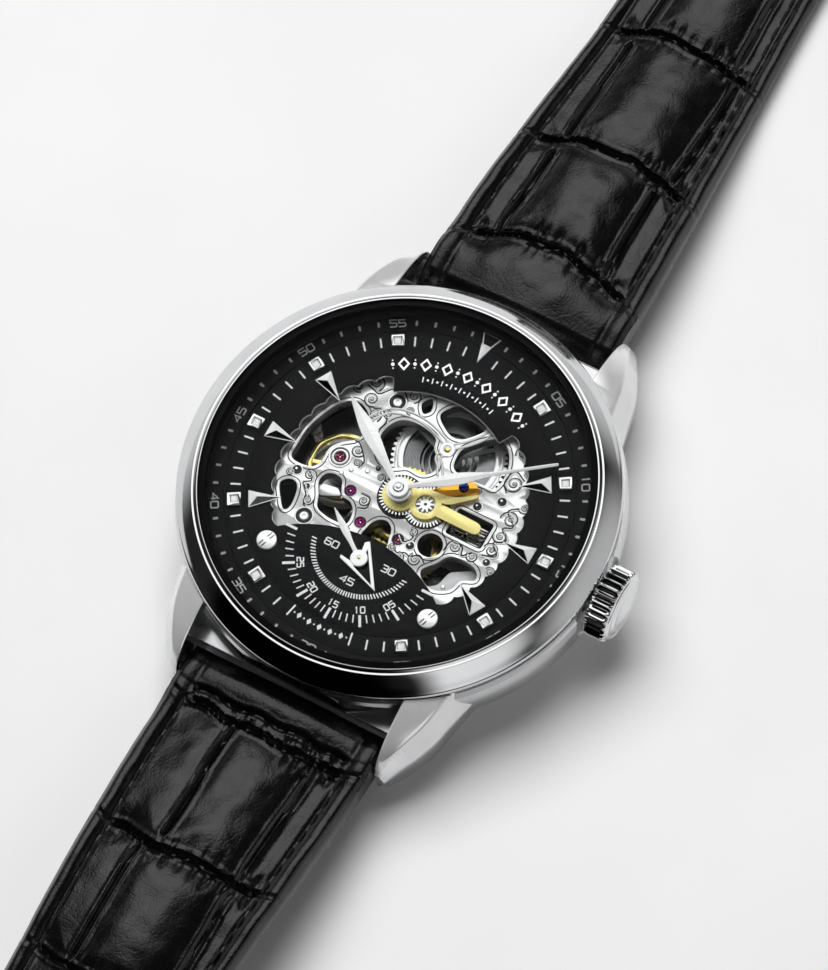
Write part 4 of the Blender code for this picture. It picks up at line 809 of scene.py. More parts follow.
def crown():
    """Fluted crown with a hollow back and a domed end of plain raised rings."""
    flutes = 28
    spots = flutes * 12
    start = CROWN_START
    stations = [(start, 3.15, 0.0), (start + 0.12, 3.45, 0.0), (start + 0.3, CROWN_RADIUS, 0.3),
                (start + 0.6, CROWN_RADIUS, 0.42), (start + 1.95, CROWN_RADIUS, 0.42),
                (start + 2.25, CROWN_RADIUS - 0.02, 0.3), (start + 2.42, 3.5, 0.0), (start + 2.5, 3.38, 0.0)]
    sections = []
    for x, radius, depth in stations:
        section = []
        for i in range(spots):
            turn = 2.0 * math.pi * i / spots
            wave = 0.5 - 0.5 * math.cos(turn * flutes)
            r = radius - depth * wave ** 0.8
            section.append((x, r * math.cos(turn), STEM_Z + r * math.sin(turn)))
        sections.append(section)
    body = loft("crown", sections)
    bore = [(0.0, start - 1.0), (1.95, start - 1.0), (1.95, start + 1.75), (0.0, start + 1.75)]
    socket = turned("socket", bore, segments=48, along_x=True)
    cut(body, socket)
    show(body, "crown_body", "mirror_steel", "crown", "crown", 50.0)
    dome = [(0.0, start + 2.3), (3.36, start + 2.3), (3.36, start + 2.52), (3.2, start + 2.66), (2.95, start + 2.7),
            (2.85, start + 2.62), (2.6, start + 2.66), (2.4, start + 2.86), (2.2, start + 2.88), (2.0, start + 2.82),
            (1.5, start + 2.98), (0.9, start + 3.14), (0.45, start + 3.21), (0.0, CROWN_END - 0.01)]
    show(turned("dome", dome, segments=96, along_x=True), "crown_dome", "mirror_steel", "crown",
         crease=50.0)


# ---------------------------------------------------------------- dial

def opening_outline():
    """Edge of the dial's opening: wavy sides, a tab at the top and the seconds dial's arc at the bottom."""
    corner = 43.8
    tab_left = 122.0
    tab_right = 57.0

    def wavy(start, end):
        points = []
        for i in range(121):
            share = i / 120
            ripple = 0.34 * abs(math.sin(share * math.pi * 12.0)) ** 0.7
            points.append(polar(12.22 + ripple, start + (end - start) * share))
        return points

    outline = wavy(-corner, tab_right)
    outline += arc(10.8, tab_right - 0.5, tab_left + 0.5, 40)
    outline += wavy(tab_left, 180.0 + corner)
    outline += arc(14.5, 128.2, 51.8, 40, (0.0, -20.0))
    return outline


def dial():
    """Stepped black dial: an inner zone with the opening, a sunken minute track and an outer zone."""
    studs = [circle(0.5, (side * 8.9, -10.3), 24) for side in (-1.0, 1.0)]
    outlines = [circle(15.0, count=180), opening_outline(), circle(0.3, FOURTH, 20), *studs]
    inner = prism("inner", outlines, -0.4, 0.0)
    soften(inner, 0.06, 2)
    show(inner, "dial_inner_zone", "dial_black", "case", "dial", 40.0)
    track = rounded([(15.02, -0.4), (17.1, -0.4), (17.1, -0.06), (15.02, -0.06)], 0.04, 2)
    show(turned("track", track, segments=240), "dial_minute_track", "dial_black", "case")
    # Bright wire round the opening, a little below the dial's face: a painted highlight for the glint of the opening's
    # bevelled edge.
    rim = [(*point, -0.3) for point in opening_outline()]
    show(wire(rim, 0.09, closed=True), "opening_rim_glint", "nickel_bright", "case", crease=60.0)
    outer = rounded([(17.13, -0.4), (DIAL_RADIUS, -0.4), (DIAL_RADIUS, 0.02), (17.13, 0.02)], 0.05, 2)
    show(turned("outer", outer, segments=240), "dial_outer_zone", "dial_black", "case")


def tick(place, width, start, end, bottom=0.0):
    """Stroke that runs outwards at a clock angle."""
    return prism("tick", [patch(place, width / 2.0, start, end)], bottom, bottom + 0.05)


# Strokes of the digits on a grid one unit wide and high, with squared shoulders.
DIGITS = {
    "0": [[(0.12, 0.0), (0.88, 0.0), (1.0, 0.12), (1.0, 0.88), (0.88, 1.0), (0.12, 1.0), (0.0, 0.88), (0.0, 0.12),
           (0.12, 0.0)]],
    "1": [[(0.3, 0.82), (0.5, 1.0), (0.5, 0.0)]],
    "2": [[(0.0, 1.0), (0.88, 1.0), (1.0, 0.9), (1.0, 0.6), (0.88, 0.5), (0.12, 0.5), (0.0, 0.4), (0.0, 0.0),
           (1.0, 0.0)]],
    "3": [[(0.0, 1.0), (0.88, 1.0), (1.0, 0.9), (1.0, 0.1), (0.88, 0.0), (0.0, 0.0)], [(0.25, 0.5), (1.0, 0.5)]],
    "4": [[(0.8, 0.0), (0.8, 1.0), (0.0, 0.3), (1.0, 0.3)]],
    "5": [[(1.0, 1.0), (0.0, 1.0), (0.0, 0.55), (0.88, 0.55), (1.0, 0.45), (1.0, 0.1), (0.88, 0.0), (0.0, 0.0)]],
    "6": [[(0.95, 1.0), (0.12, 1.0), (0.0, 0.88), (0.0, 0.12), (0.12, 0.0), (0.88, 0.0), (1.0, 0.12),
           (1.0, 0.45), (0.88, 0.55), (0.0, 0.55)]],
}


def stroke_strip(points, width, bottom, height):
    """Flat ribbon of constant width along open or closed points of the plan."""
    line = [Vector(p) for p in points]
    closed = (line[0] - line[-1]).length < 1e-6
    if closed:
        line = line[:-1]
    count = len(line)
    left = []
    right = []
    for i, spot in enumerate(line):
        before = line[i - 1] if closed or i > 0 else None
        after = line[(i + 1) % count] if closed or i < count - 1 else None
        first = (spot - before).normalized() if before is not None else (after - spot).normalized()
        second = (after - spot).normalized() if after is not None else first
        middle = (first + second).normalized()
        normal = Vector((-middle.y, middle.x))
        reach = width / 2.0 / max(0.5, normal.dot(Vector((-first.y, first.x))))
        left.append(spot + normal * reach)
        right.append(spot - normal * reach)
    vertices = []
    for z in (bottom, bottom + height):
        vertices += [(p.x, p.y, z) for p in left] + [(p.x, p.y, z) for p in right]
    faces = []
    spans = count if closed else count - 1
    for i in range(spans):
        j = (i + 1) % count
        faces.append((i, j, count + j, count + i))
        faces.append((2 * count + i, 2 * count + j, 3 * count + j, 3 * count + i))
        faces.append((i, j, 2 * count + j, 2 * count + i))
        faces.append((count + i, count + j, 3 * count + j, 3 * count + i))
    if not closed:
        for end in (0, count - 1):
            faces.append((end, count + end, 3 * count + end, 2 * count + end))
    return mesh_object("stroke", vertices, faces)


def number(text, place, size, outwards, flip=False, stroke=0.13, bottom=0.02, aspect=0.92):
    """Digits at a clock angle. flip turns their tops towards the centre."""
    wide = size * aspect
    gap = size * 0.28
    total = len(text) * wide + (len(text) - 1) * gap
    sign = -1.0 if flip else 1.0
    pieces = []
    for k, digit in enumerate(text):
        start = -total / 2.0 + k * (wide + gap)
        for line in DIGITS[digit]:
            points = [place(sign * (start + u * wide), outwards + sign * (v - 0.5) * size) for u, v in line]
            pieces.append(stroke_strip(points, stroke, bottom, 0.03))
    return pieces


def minute_marks():
    """Printed tracks and applied squares of the minute ring."""
    lines = []
    dashes = []
    figures = []
    frames = []
    hearts = []
    for minute in range(60):
        degrees = 6.0 * minute
        place = at_angle(degrees)
        if minute in (28, 32):
            lines.append(tick(place, 0.16, 15.1, 16.4, TRACK_Z))
        elif minute % 5 and minute not in (29, 31):
            lines.append(tick(place, 0.17, 15.5, 16.5, TRACK_Z))
        if minute % 5:
            dashes.append(tick(place, 0.22, 17.7, 18.2, 0.02))
        elif minute:
            figures += number(f"{minute:02d}", place, 0.72, 17.95, flip=110 < degrees < 250)
        if minute % 5 == 0 and minute not in (0, 30):
            outlines = [patch(place, 0.68, 15.35, 16.7), patch(place, 0.36, 15.67, 16.38)]
            frames.append(prism("frame", outlines, TRACK_Z, 0.3))
            hearts.append(prism("heart", [patch(place, 0.33, 15.7, 16.35)], TRACK_Z, 0.2))
    show(join("lines", lines), "minute_ticks", "white_ink", "case")
    show(join("dashes", dashes), "outer_dashes", "grey_ink", "case")
    show(join("figures", figures), "minute_numerals", "grey_ink", "case")
    show(soften(join("frames", frames), 0.06, 2), "applied_squares", "hand_steel", "case")
    show(soften(join("hearts", hearts), 0.04, 1), "square_inlays", "white_ink", "case")


def twelve_marker():
    """Peaked triangle at 12 o'clock, inside a printed outline."""
    place = at_angle(0.0)
    corners = [place(-0.55, 17.35), place(0.55, 17.35), place(0.0, 15.4)]
    vertices = [(*corner, TRACK_Z) for corner in corners]
    vertices += [(*corner, height) for corner, height in zip(corners, (0.2, 0.2, 0.1))]
    vertices.append((*place(0.0, 17.3), 0.42))
    tip = mesh_object("tip", vertices, [(0, 2, 1), (0, 1, 4, 3), (1, 2, 5, 4), (2, 0, 3, 5), (3, 4, 6), (4, 5, 6),
                                        (5, 3, 6)])
    show(tip, "twelve_marker", "white_metal", "case", crease=10.0)
    left = place(-0.95, 18.6)
    outline = [left, place(0.95, 18.6), place(0.38, 17.2), place(-0.38, 17.2), left]
    border = stroke_strip(outline, 0.12, 0.02, 0.03)
    show(border, "twelve_outline", "white_ink", "case")


def facet(place, spots):
    """Closed sliver under one sloping triangle; spots are (u, v, height), counter-clockwise."""
    vertices = [(*place(u, v), 0.0) for u, v, _ in spots] + [(*place(u, v), height) for u, v, height in spots]
    return mesh_object("facet", vertices, [(0, 2, 1), (0, 1, 4, 3), (1, 2, 5, 4), (2, 0, 3, 5), (3, 4, 5)])


def darts():
    """Applied dart indices: three-sided peaks, two facets frosted and one painted dark as shade, with a pale wire
    along its edge as a painted highlight.
    """
    pale = []
    dark = []
    tip = (0.0, 11.45, 0.1)
    peak = (0.0, 13.75, 0.6)
    left = (-0.88, 14.65, 0.12)
    right = (0.88, 14.65, 0.12)
    for hour in (2, 3, 4, 8, 9, 10):
        place = at_angle(30.0 * hour)
        # The facet painted dark as shade is the clockwise one before 6 o'clock and the other one after.
        shade = right if hour < 6 else left
        for corner, spots in ((right, [tip, right, peak]), (left, [tip, peak, left])):
            (dark if corner is shade else pale).append(facet(place, spots))
        pale.append(facet(place, [peak, right, left]))
        # A pale wire along the shaded facet's edges is a painted highlight.
        pale.append(wire([(*place(u, v), height) for u, v, height in (tip, shade, peak)], 0.045, sides=6))
    show(join("darts", pale), "hour_darts", "white_metal", "case", crease=12.0)
    show(join("shades", dark), "hour_dart_shades", "shadow_metal", "case", crease=12.0)


def reach(degrees, radius):
    """Distance from the seconds pivot, along a clock angle, to a circle about the middle of its scale."""
    drop = FOURTH[1] - SCALE_CENTRE_Y
    along = drop * math.cos(math.radians(degrees))
    return -along + math.sqrt(along * along - drop * drop + radius * radius)


def small_seconds_print():
    """Double scale of the small seconds: steps of the hand's angle, set out on an eccentric band."""
    lines = []
    figures = []
    for i in range(31):
        degrees = 90.0 + 6.0 * i
        place = at_angle(degrees, FOURTH)
        strong = i % 5 == 0
        lines.append(tick(place, 0.26 if strong else 0.12, reach(degrees, 7.05),
                          reach(degrees, 8.25 if strong else 7.85)))
    for i in range(46):
        degrees = 90.0 + 4.0 * i
        place = at_angle(degrees, FOURTH)
        lines.append(tick(place, 0.13, reach(degrees, 4.93), reach(degrees, 5.42)))
    for text, degrees in (("05", 120.0), ("10", 150.0), ("15", 180.0), ("20", 210.0), ("25", 240.0)):
        place = at_angle(degrees, FOURTH)
        figures += number(text, place, 0.62, reach(degrees, 6.52), True, 0.12, 0.0, 0.66)
    for text, spot in (("30", (3.05, -7.6)), ("60", (-3.2, -7.6)), ("45", (0.0, -10.3))):
        figures += number(text, at_angle(0.0, spot), 0.66, 0.0, False, 0.12, 0.0, 0.9)
    show(join("lines", lines), "seconds_track", "white_ink", "case")
    show(join("figures", figures), "seconds_numerals", "white_ink", "case")


def diamond(place, middle, half_width, half_length):
    """Lozenge at a clock angle, pointing outwards."""
    return [place(0.0, middle + half_length), place(half_width, middle), place(0.0, middle - half_length),
            place(-half_width, middle)]


def dial_ornaments():
    """Plain ornament bands under 12 o'clock and above 6 o'clock."""
    upper = 13.55
    pieces = []
    for k in range(-7, 8):
        place = at_angle(4.6 * k)
        if k % 2 == 0:
            pieces.append(prism("diamond", [diamond(place, upper, 0.62, 0.75), diamond(place, upper, 0.33, 0.4)],
                                0.0, 0.12))
        else:
            for rise, radius, count in ((0.0, 0.2, 16), (-0.42, 0.1, 12), (0.42, 0.1, 12)):
                pieces.append(prism("dot", [circle(radius, place(0.0, upper + rise), count)], 0.0, 0.12))
    for k in range(-8, 9):
        place = at_angle(2.3 * k)
        outline = circle(0.13, place(0.0, 11.99), 14) if k % 2 else patch(place, 0.07, 11.68, 12.3)
        pieces.append(prism("bead", [outline], 0.0, 0.1))
    show(soften(join("band", pieces), 0.025, 1), "dial_ornament", "hand_steel", "case")
    small = []
    lower = 15.7
    for k in range(-5, 6):
        place = at_angle(180.0 + 2.1 * k)
        outline = circle(0.09, place(0.0, lower), 12) if k % 2 else diamond(place, lower, 0.24, 0.35)
        small.append(prism("lozenge", [outline], TRACK_Z, TRACK_Z + 0.04))
    show(join("small", small), "lower_ornament", "white_ink", "case")


def dial_screws():
    """Two domed screws with a pair of short notches at each end of the missing slot."""
    for node, side in (("dial_screw_left", -1.0), ("dial_screw_right", 1.0)):
        spot = (side * 8.9, -10.3)
        head = turned("head", [(0.0, -1.0), (0.38, -1.0), (0.38, 0.04), (0.92, 0.04), (1.0, 0.1), (1.0, 0.3),
                               (0.93, 0.38), (0.5, 0.42), (0.0, 0.43)], spot, 64)
        place = at_angle(20.0, spot)
        marks = []
        for low, high in ((-0.85, -0.25), (0.25, 0.85)):
            for middle in (-0.17, 0.17):
                corners = patch(place, 0.06, low, high, middle)
                cut(head, prism("slot", [corners], 0.3, 0.7))
                # Each slot gets a dark mark down in it: painted shade.
                marks.append(prism("mark", [corners], 0.25, 0.33))
        show(join("marks", marks), node + "_slot_shades", "dark_line", "case")
        show(head, node + "_head", "nickel_bright", "case", node)


# ---------------------------------------------------------------- hands

def lance(name, angle, length, widths, floor, height, centre=CENTRE):
    """Roofed blade with a crisp ridge, from a pivot along a clock angle."""
    place = at_angle(angle, centre)
    sections = []
    for share, width in curve_through(widths, 8):
        width = max(0.06, width)
        half = width / 2.0
        rise = height * (0.6 + 0.4 * min(1.0, width))
        outline = [(-half, 0.0), (half, 0.0), (half, 0.45 * rise), (0.0, rise), (-half, 0.45 * rise)]
        sections.append([(*place(u, length * share), floor + v) for u, v in outline])
    return loft(name, sections)


def hour_hand():
    """Broad faceted blade on a flat hub, round the minute hand's pipe."""
    hand = lance("hour", HOUR_ANGLE, 11.2, [(0.0, 0.5), (0.25, 0.75), (0.6, 1.5), (0.85, 0.75), (1.0, 0.08)], 0.6, 0.3)
    hub = [(0.0, 0.57), (1.22, 0.57), (1.25, 0.6), (1.25, 0.8), (1.2, 0.84), (0.0, 0.84)]
    union(hand, turned("hub", hub, segments=64))
    cut(hand, prism("bore", [circle(0.88, count=64)], 0.0, 1.5))
    show(hand, "hour_hand_blade", "white_metal", "hour", "hour_hand", 18.0)


def minute_hand():
    """Long faceted blade on its hub, with the polished cap of the centre."""
    widths = [(0.0, 0.45), (0.14, 0.55), (0.36, 1.25), (0.62, 0.4), (0.98, 0.3), (1.0, 0.1)]
    hand = lance("minute", MINUTE_ANGLE, 15.35, widths, 1.05, 0.3)
    hub = [(0.0, 1.02), (0.98, 1.02), (1.0, 1.05), (1.0, 1.26), (0.94, 1.31), (0.0, 1.31)]
    union(hand, turned("hub", hub, segments=64))
    cut(hand, prism("bore", [circle(0.55, count=48)], 0.5, 2.0))
    show(hand, "minute_hand_blade", "white_metal", "minute", "minute_hand", 18.0)
    cap = [(0.0, 1.2), (0.53, 1.2), (0.53, 1.4), (0.46, 1.48), (0.4, 1.48), (0.36, 1.38), (0.26, 1.38),
           (0.22, 1.47), (0.0, 1.5)]
    show(turned("cap", cap, segments=64), "centre_cap", "mirror_steel", "minute")


def seconds_hand():
    """Small blade with a hollow, hooked counterweight."""
    blade = lance("seconds", SECONDS_ANGLE, 5.9, [(0.0, 0.5), (0.3, 0.42), (0.62, 0.7), (1.0, 0.1)], 0.2, 0.22, FOURTH)
    opposite = at_angle(SECONDS_ANGLE + 180.0, FOURTH)
    x, y = FOURTH
    outer = [opposite(0.0, 3.8), (x + 0.1, y + 2.0), (x - 0.3, y + 1.7), (x - 0.1, y + 0.5), (x - 0.6, y - 0.6),
             (x - 1.75, y - 0.45), (x - 1.7, y - 0.75)]
    window = [(x + 2.4, y - 1.9), (x + 0.3, y + 1.2), (x + 0.35, y - 0.3), (x - 0.1, y - 0.95)]
    tail = soften(prism("tail", [outer, window], 0.21, 0.38), 0.04, 1)
    hub = turned("hub", [(0.0, 0.22), (0.82, 0.22), (0.85, 0.25), (0.85, 0.4), (0.78, 0.46), (0.3, 0.48),
                         (0.25, 0.42), (0.0, 0.42)], FOURTH, 56)
    show(join("seconds", [blade, tail, hub]), "seconds_hand_blade", "white_metal", "seconds",
         "seconds_hand", 18.0)


# ---------------------------------------------------------------- movement

def plate_windows():
    """Openings of the skeleton plate, as smooth loops through a few points."""
    loops = [
        [(-11.6, 2.6), (-11.75, 0.2), (-11.5, -1.2), (-9.6, -1.25), (-8.8, -0.4), (-8.75, 1.3), (-8.0, 2.4),
         (-6.9, 3.3), (-6.4, 4.6), (-7.1, 6.2), (-8.8, 6.9), (-10.4, 5.6)],
        [(-4.9, 4.6), (-4.7, 6.1), (-3.8, 7.2), (-2.0, 7.5), (-0.1, 7.0), (0.4, 5.9), (1.3, 5.0), (1.6, 3.9),
         (0.7, 3.0), (-0.9, 3.0), (-2.3, 2.3), (-3.9, 2.6)],
        [(-0.8, 9.3), (0.4, 8.2), (1.6, 7.8), (2.7, 8.3), (3.9, 9.9), (3.1, 10.8), (1.4, 11.2), (0.0, 10.7)],
        [(3.0, 7.3), (4.6, 9.1), (5.8, 9.6), (7.1, 8.8), (7.9, 6.9), (7.7, 4.9), (6.6, 4.75), (4.7, 4.6),
         (3.2, 4.9), (2.8, 6.0)],
        [(-7.9, -2.2), (-7.7, -1.2), (-6.9, -0.8), (-6.0, -1.0), (-5.6, -1.8), (-5.1, -2.5), (-4.1, -2.7),
         (-3.4, -3.5), (-3.3, -4.8), (-4.3, -5.1), (-5.7, -5.0), (-6.7, -4.6), (-7.2, -3.5)],
        [(-1.3, -5.5), (-1.35, -4.2), (-0.9, -3.2), (0.0, -2.8), (0.8, -3.3), (1.1, -4.3), (1.2, -5.5)],
        [(5.5, -5.7), (6.4, -4.5), (7.2, -3.3), (8.6, -3.0), (10.1, -3.3), (10.6, -4.3), (9.4, -5.0),
         (8.9, -6.3), (7.5, -7.0), (6.1, -6.6)],
        [(-11.2, -4.1), (-10.7, -3.3), (-9.8, -3.3), (-9.3, -4.2), (-9.1, -5.7), (-9.5, -6.3), (-10.3, -5.5)],
        [(-3.0, 9.6), (-2.4, 8.7), (-1.8, 9.3), (-2.3, 10.4)],
    ]
    return [smooth_loop(loop) for loop in loops]


# Holes through the plate, as (place, radius).
SINKS = (((-10.4, -2.1), 0.45), ((-8.6, -3.2), 0.35), ((3.3, -4.05), 0.45), ((9.0, 4.0), 0.5), ((7.1, 2.5), 0.45),
         ((10.7, -2.2), 0.4), ((-5.1, 8.6), 0.5), ((-7.2, -6.1), 0.5))
# Engraved scrolls, as (x, y, size, turned left).
SCROLLS = (
    (-8.0, 9.5, 0.75, 0), (-7.6, 7.75, 0.75, 1), (-6.5, 6.4, 0.62, 0), (-5.4, 7.1, 0.45, 1), (-4.0, 9.9, 0.62, 0),
    (-6.1, 2.35, 0.62, 1), (-5.5, 1.2, 0.4, 0), (9.1, 6.2, 0.85, 0), (10.6, 2.7, 0.85, 1), (10.6, 0.75, 0.66, 0),
    (10.5, -0.9, 0.7, 1), (9.2, -2.3, 0.55, 0), (7.2, -2.2, 0.6, 1), (4.4, -5.1, 0.62, 0), (2.9, -5.6, 0.5, 1),
    (1.9, -5.0, 0.4, 0), (-3.0, -2.0, 0.5, 1), (-9.0, -2.0, 0.55, 0), (-7.9, -4.4, 0.5, 1), (-10.9, -2.6, 0.4, 0),
    (11.3, 4.4, 0.55, 0), (8.3, 9.4, 0.6, 1), (-9.4, 8.3, 0.5, 1), (-3.6, 8.4, 0.42, 1), (2.9, -2.7, 0.42, 1),
    (-3.0, -5.6, 0.42, 0), (11.5, -2.9, 0.45, 1), (-2.7, 0.9, 0.4, 0), (6.4, 3.95, 0.36, 1), (11.2, -5.2, 0.4, 0),
)


# Engraved stems that join the scrolls.
VINES = (
    [(10.9, 4.2), (10.0, 3.4), (11.2, 2.2), (10.4, 1.6), (11.3, 0.6), (10.3, -0.1), (11.2, -1.2), (9.9, -1.7)],
    [(9.9, 6.9), (8.6, 7.4), (8.2, 6.0), (8.9, 5.0)],
    [(9.0, -1.9), (8.2, -2.6), (7.8, -1.8), (6.6, -1.9), (6.4, -3.0)],
    [(5.4, -5.0), (4.6, -4.5), (3.8, -5.0), (3.2, -4.9), (2.4, -5.2), (1.6, -4.3)],
    [(-8.7, 8.9), (-7.9, 8.7), (-7.2, 8.6), (-6.3, 9.6), (-5.2, 9.9), (-4.3, 9.1)],
    [(-7.0, 7.0), (-6.1, 7.2), (-5.2, 6.4), (-5.4, 5.2)],
    [(-6.9, 3.2), (-6.3, 3.1), (-5.6, 2.4), (-5.0, 1.6), (-5.2, 0.8)],
    [(-9.3, -1.6), (-8.6, -2.4), (-9.2, -3.0), (-8.4, -3.9), (-8.0, -5.0), (-6.9, -5.3)],
    [(-3.6, -1.4), (-2.6, -1.5), (-2.4, -2.5), (-3.2, -2.9)],
    [(2.6, -2.4), (3.1, -3.2), (2.6, -3.9), (1.9, -3.4)],
)


def wire(points, radius, closed=False, sides=8):
    """Round wire along points in space, with flat ends."""
    line = [Vector(p) for p in points]
    count = len(line)
    sections = []
    for i, spot in enumerate(line):
        before = line[(i - 1) % count] if closed or i > 0 else line[0]
        after = line[(i + 1) % count] if closed or i < count - 1 else line[-1]
        heading = (after - before).normalized()
        side = heading.cross(Vector((0.0, 0.0, 1.0)))
        side = side.normalized() if side.length > 1e-6 else Vector((1.0, 0.0, 0.0))
        up = side.cross(heading)
        sections.append([tuple(spot + side * radius * math.cos(2.0 * math.pi * k / sides)
                               + up * radius * math.sin(2.0 * math.pi * k / sides)) for k in range(sides)])
    return loft("wire", sections, closed)


def scroll_line(x, y, size, left):
    """Points of one engraved scroll, winding in to its centre."""
    turns = -1.7 if left else 1.7
    steps = 34
    start = math.degrees(math.atan2(-y, -x))
    return [polar(size * (1.0 - 0.82 * (i / steps) ** 0.8), start + 360.0 * turns * i / steps, (x, y))
            for i in range(steps + 1)]


def on_plate(profile, spot, segments):
    """Small turned piece with its heights from the plate's top."""
    return turned("detail", [(radius, PLATE_TOP + height) for radius, height in profile], spot, segments)


def plate_ring(inner, outer, spot, segments, top=0.05, bottom=-0.04):
    """Rounded ring that stands on the plate."""
    outline = [(inner, bottom), (outer, bottom), (outer, top), (inner, top)]
    return on_plate(rounded(outline, 0.03, 2), spot, segments)


def plate_wire(path, height, radius, closed=False, sides=8):
    """Wire along a plan path, at a height from the plate's top."""
    return wire([(p[0], p[1], PLATE_TOP + height) for p in path], radius, closed, sides)


def paint_shade_faces(piece, chosen):
    """Give the chosen faces of a plate or bridge a dark nickel: painted shade where they lie under the plate or down
    in its windows.
    """
    piece.data.materials.append(FINISH["bridge_inside"])
    for face in piece.data.polygons:
        if chosen(face):
            face.material_index = 1


def main_plate():
    """Skeleton plate with bevelled windows."""
    holes = [circle(radius, spot, 28) for spot, radius in SINKS]
    pivots = [circle(0.6, spot, 36) for spot in (THIRD, ESCAPE, PALLET, BALANCE)]
    pivots += [circle(0.42, CENTRE, 24), circle(0.25, FOURTH, 16), circle(0.45, BARREL, 24)]
    outlines = [circle(MOVEMENT_RADIUS, count=160), *plate_openings(), *holes, *pivots]
    plate = prism("plate", outlines, PLATE_BOTTOM, PLATE_TOP)
    cut(plate, block("channel", (9.0, -0.6, -3.1), (14.0, 0.6, STEM_Z + 0.55)),
        block("channel", (4.6, -0.55, -3.1), (6.0, 0.55, STEM_Z + 0.55)))
    soften(plate, 0.13, 2)
    show(plate, "skeleton_plate", "nickel_plate", "case", "main_plate")
    # Painted shade: the windows' walls below the bevelled edge get a dark nickel.
    below_edge = PLATE_TOP - 0.16
    paint_shade_faces(plate, lambda face: abs(face.normal.z) < 0.3 and face.center.z / MM - DIAL_Z < below_edge)


def engraving():
    """Scrolls, vines and edge lines on the plate: bright ridges, and dark grooves that are painted shade."""
    ridges = []
    grooves = []
    for x, y, size, left in SCROLLS:
        ridges.append(plate_wire(scroll_line(x, y, size, left), -0.02, 0.085))
        grooves.append(plate_wire(scroll_line(x, y, size * 1.2, left), -0.02, 0.085, sides=6))
        ridges.append(on_plate([(0.0, -0.05), (0.15, -0.05), (0.12, 0.06), (0.0, 0.1)], (x, y), 16))
        grooves.append(on_plate([(0.15, -0.03), (0.21, -0.03), (0.21, 0.01), (0.15, 0.01)], (x, y), 16))
    for vine in VINES:
        path = curve_through(vine, 8)
        grooves.append(plate_wire(path, -0.02, 0.09, sides=6))
        ridges.append(plate_wire(shifted(path, 0.2), -0.03, 0.09))
    for loop in plate_openings():
        closed = [Vector(p) for p in loop]
        winding = sum(a.x * b.y - a.y * b.x for a, b in zip(closed, closed[1:] + closed[:1]))
        rim = shifted(closed, math.copysign(0.34, -winding), closed=True)
        grooves.append(plate_wire(rim, -0.02, 0.07, closed=True, sides=6))
    ridges = [keep_inside(piece, 12.3) for piece in ridges]
    show(join("ridges", ridges), "engraved_scrolls", "nickel_bright", "case", crease=60.0)
    show(join("grooves", grooves), "engraved_line_shades", "dark_line", "case", crease=60.0)


def plate_screws():
    """Holes painted dark with bright rims and an off-centre pin, two posts in dark cups, dark recesses under wheels,
    and pins; all this dark is painted shade.
    """
    screws = []
    cups = []
    for spot, radius in (((9.0, 4.0), 0.44), ((7.1, 2.5), 0.42), ((3.3, -4.05), 0.4), ((-10.4, -2.1), 0.46),
                         ((-8.7, -3.2), 0.32), ((-8.1, -4.2), 0.28), ((10.7, -2.2), 0.36), ((-3.4, 1.6), 0.26)):
        cups.append(on_plate([(0.0, -0.05), (radius, -0.05), (radius, 0.012), (0.0, 0.012)], spot, 40))
        screws.append(plate_ring(radius, radius + 0.13, spot, 40))
        centre = (spot[0] - 0.3 * radius, spot[1] + 0.25 * radius)
        pin = [(0.0, -0.05), (0.3 * radius, -0.05), (0.25 * radius, 0.03), (0.0, 0.035)]
        screws.append(on_plate(pin, centre, 16))
    for spot in ((-5.2, 8.6), (-7.4, -6.0)):
        cups.append(on_plate([(0.46, -0.05), (0.8, -0.05), (0.8, 0.03), (0.46, 0.01)], spot, 48))
        screws.append(on_plate([(0.0, -0.2), (0.46, -0.2), (0.46, 0.0), (0.38, 0.07), (0.2, 0.07), (0.17, -0.05),
                                (0.0, -0.05)], spot, 40))
        screws.append(plate_ring(0.8, 0.96, spot, 48, 0.06))
    for spot, lift in ((CENTRE, 0.015), (MINUTE_POST, 0.02)):
        cups.append(on_plate([(0.9, -0.05), (2.34, -0.05), (2.34, lift), (0.9, lift)], spot, 72))
    show(join("cups", cups), "plate_recess_shades", "dark_line", "case")
    screws += [on_plate([(0.0, -0.1), (0.24, -0.1), (0.24, 0.06), (0.17, 0.12), (0.0, 0.13)], spot, 24)
               for spot in ((-6.4, -0.4), (-5.7, 0.3), (-4.2, 0.9), (8.2, -6.3))]
    show(join("screws", screws), "plate_screws", "nickel_bright", "case")


def plate_openings():
    """Every opening of the plate: the windows, a slot and a round hole."""
    slot = rounded([(5.6, -1.3), (9.5, -1.3), (9.5, 1.6), (5.6, 1.6)], 0.3, 3)
    return [*plate_windows(), slot, circle(1.25, (5.0, -3.1), 40)]


def shifted(path, offset, closed=False):
    """Points of a plan path moved sideways, to its left for a positive offset."""
    count = len(path)
    result = []
    for i, p in enumerate(path):
        before = path[(i - 1) % count] if closed or i > 0 else path[0]
        after = path[(i + 1) % count] if closed or i < count - 1 else path[-1]
        along = Vector((after[0] - before[0], after[1] - before[1])).normalized()
        result.append((p[0] - along.y * offset, p[1] + along.x * offset))
    return result


def keep_inside(piece, radius):
    """Drop the parts of a piece that lie beyond a distance from the dial's axis."""
    work = bmesh.new()
    work.from_mesh(piece.data)
    far = [v for v in work.verts if math.hypot(v.co.x, v.co.y) > radius * MM]
    bmesh.ops.delete(work, geom=far, context="VERTS")
    work.to_mesh(piece.data)
    work.free()
    return piece


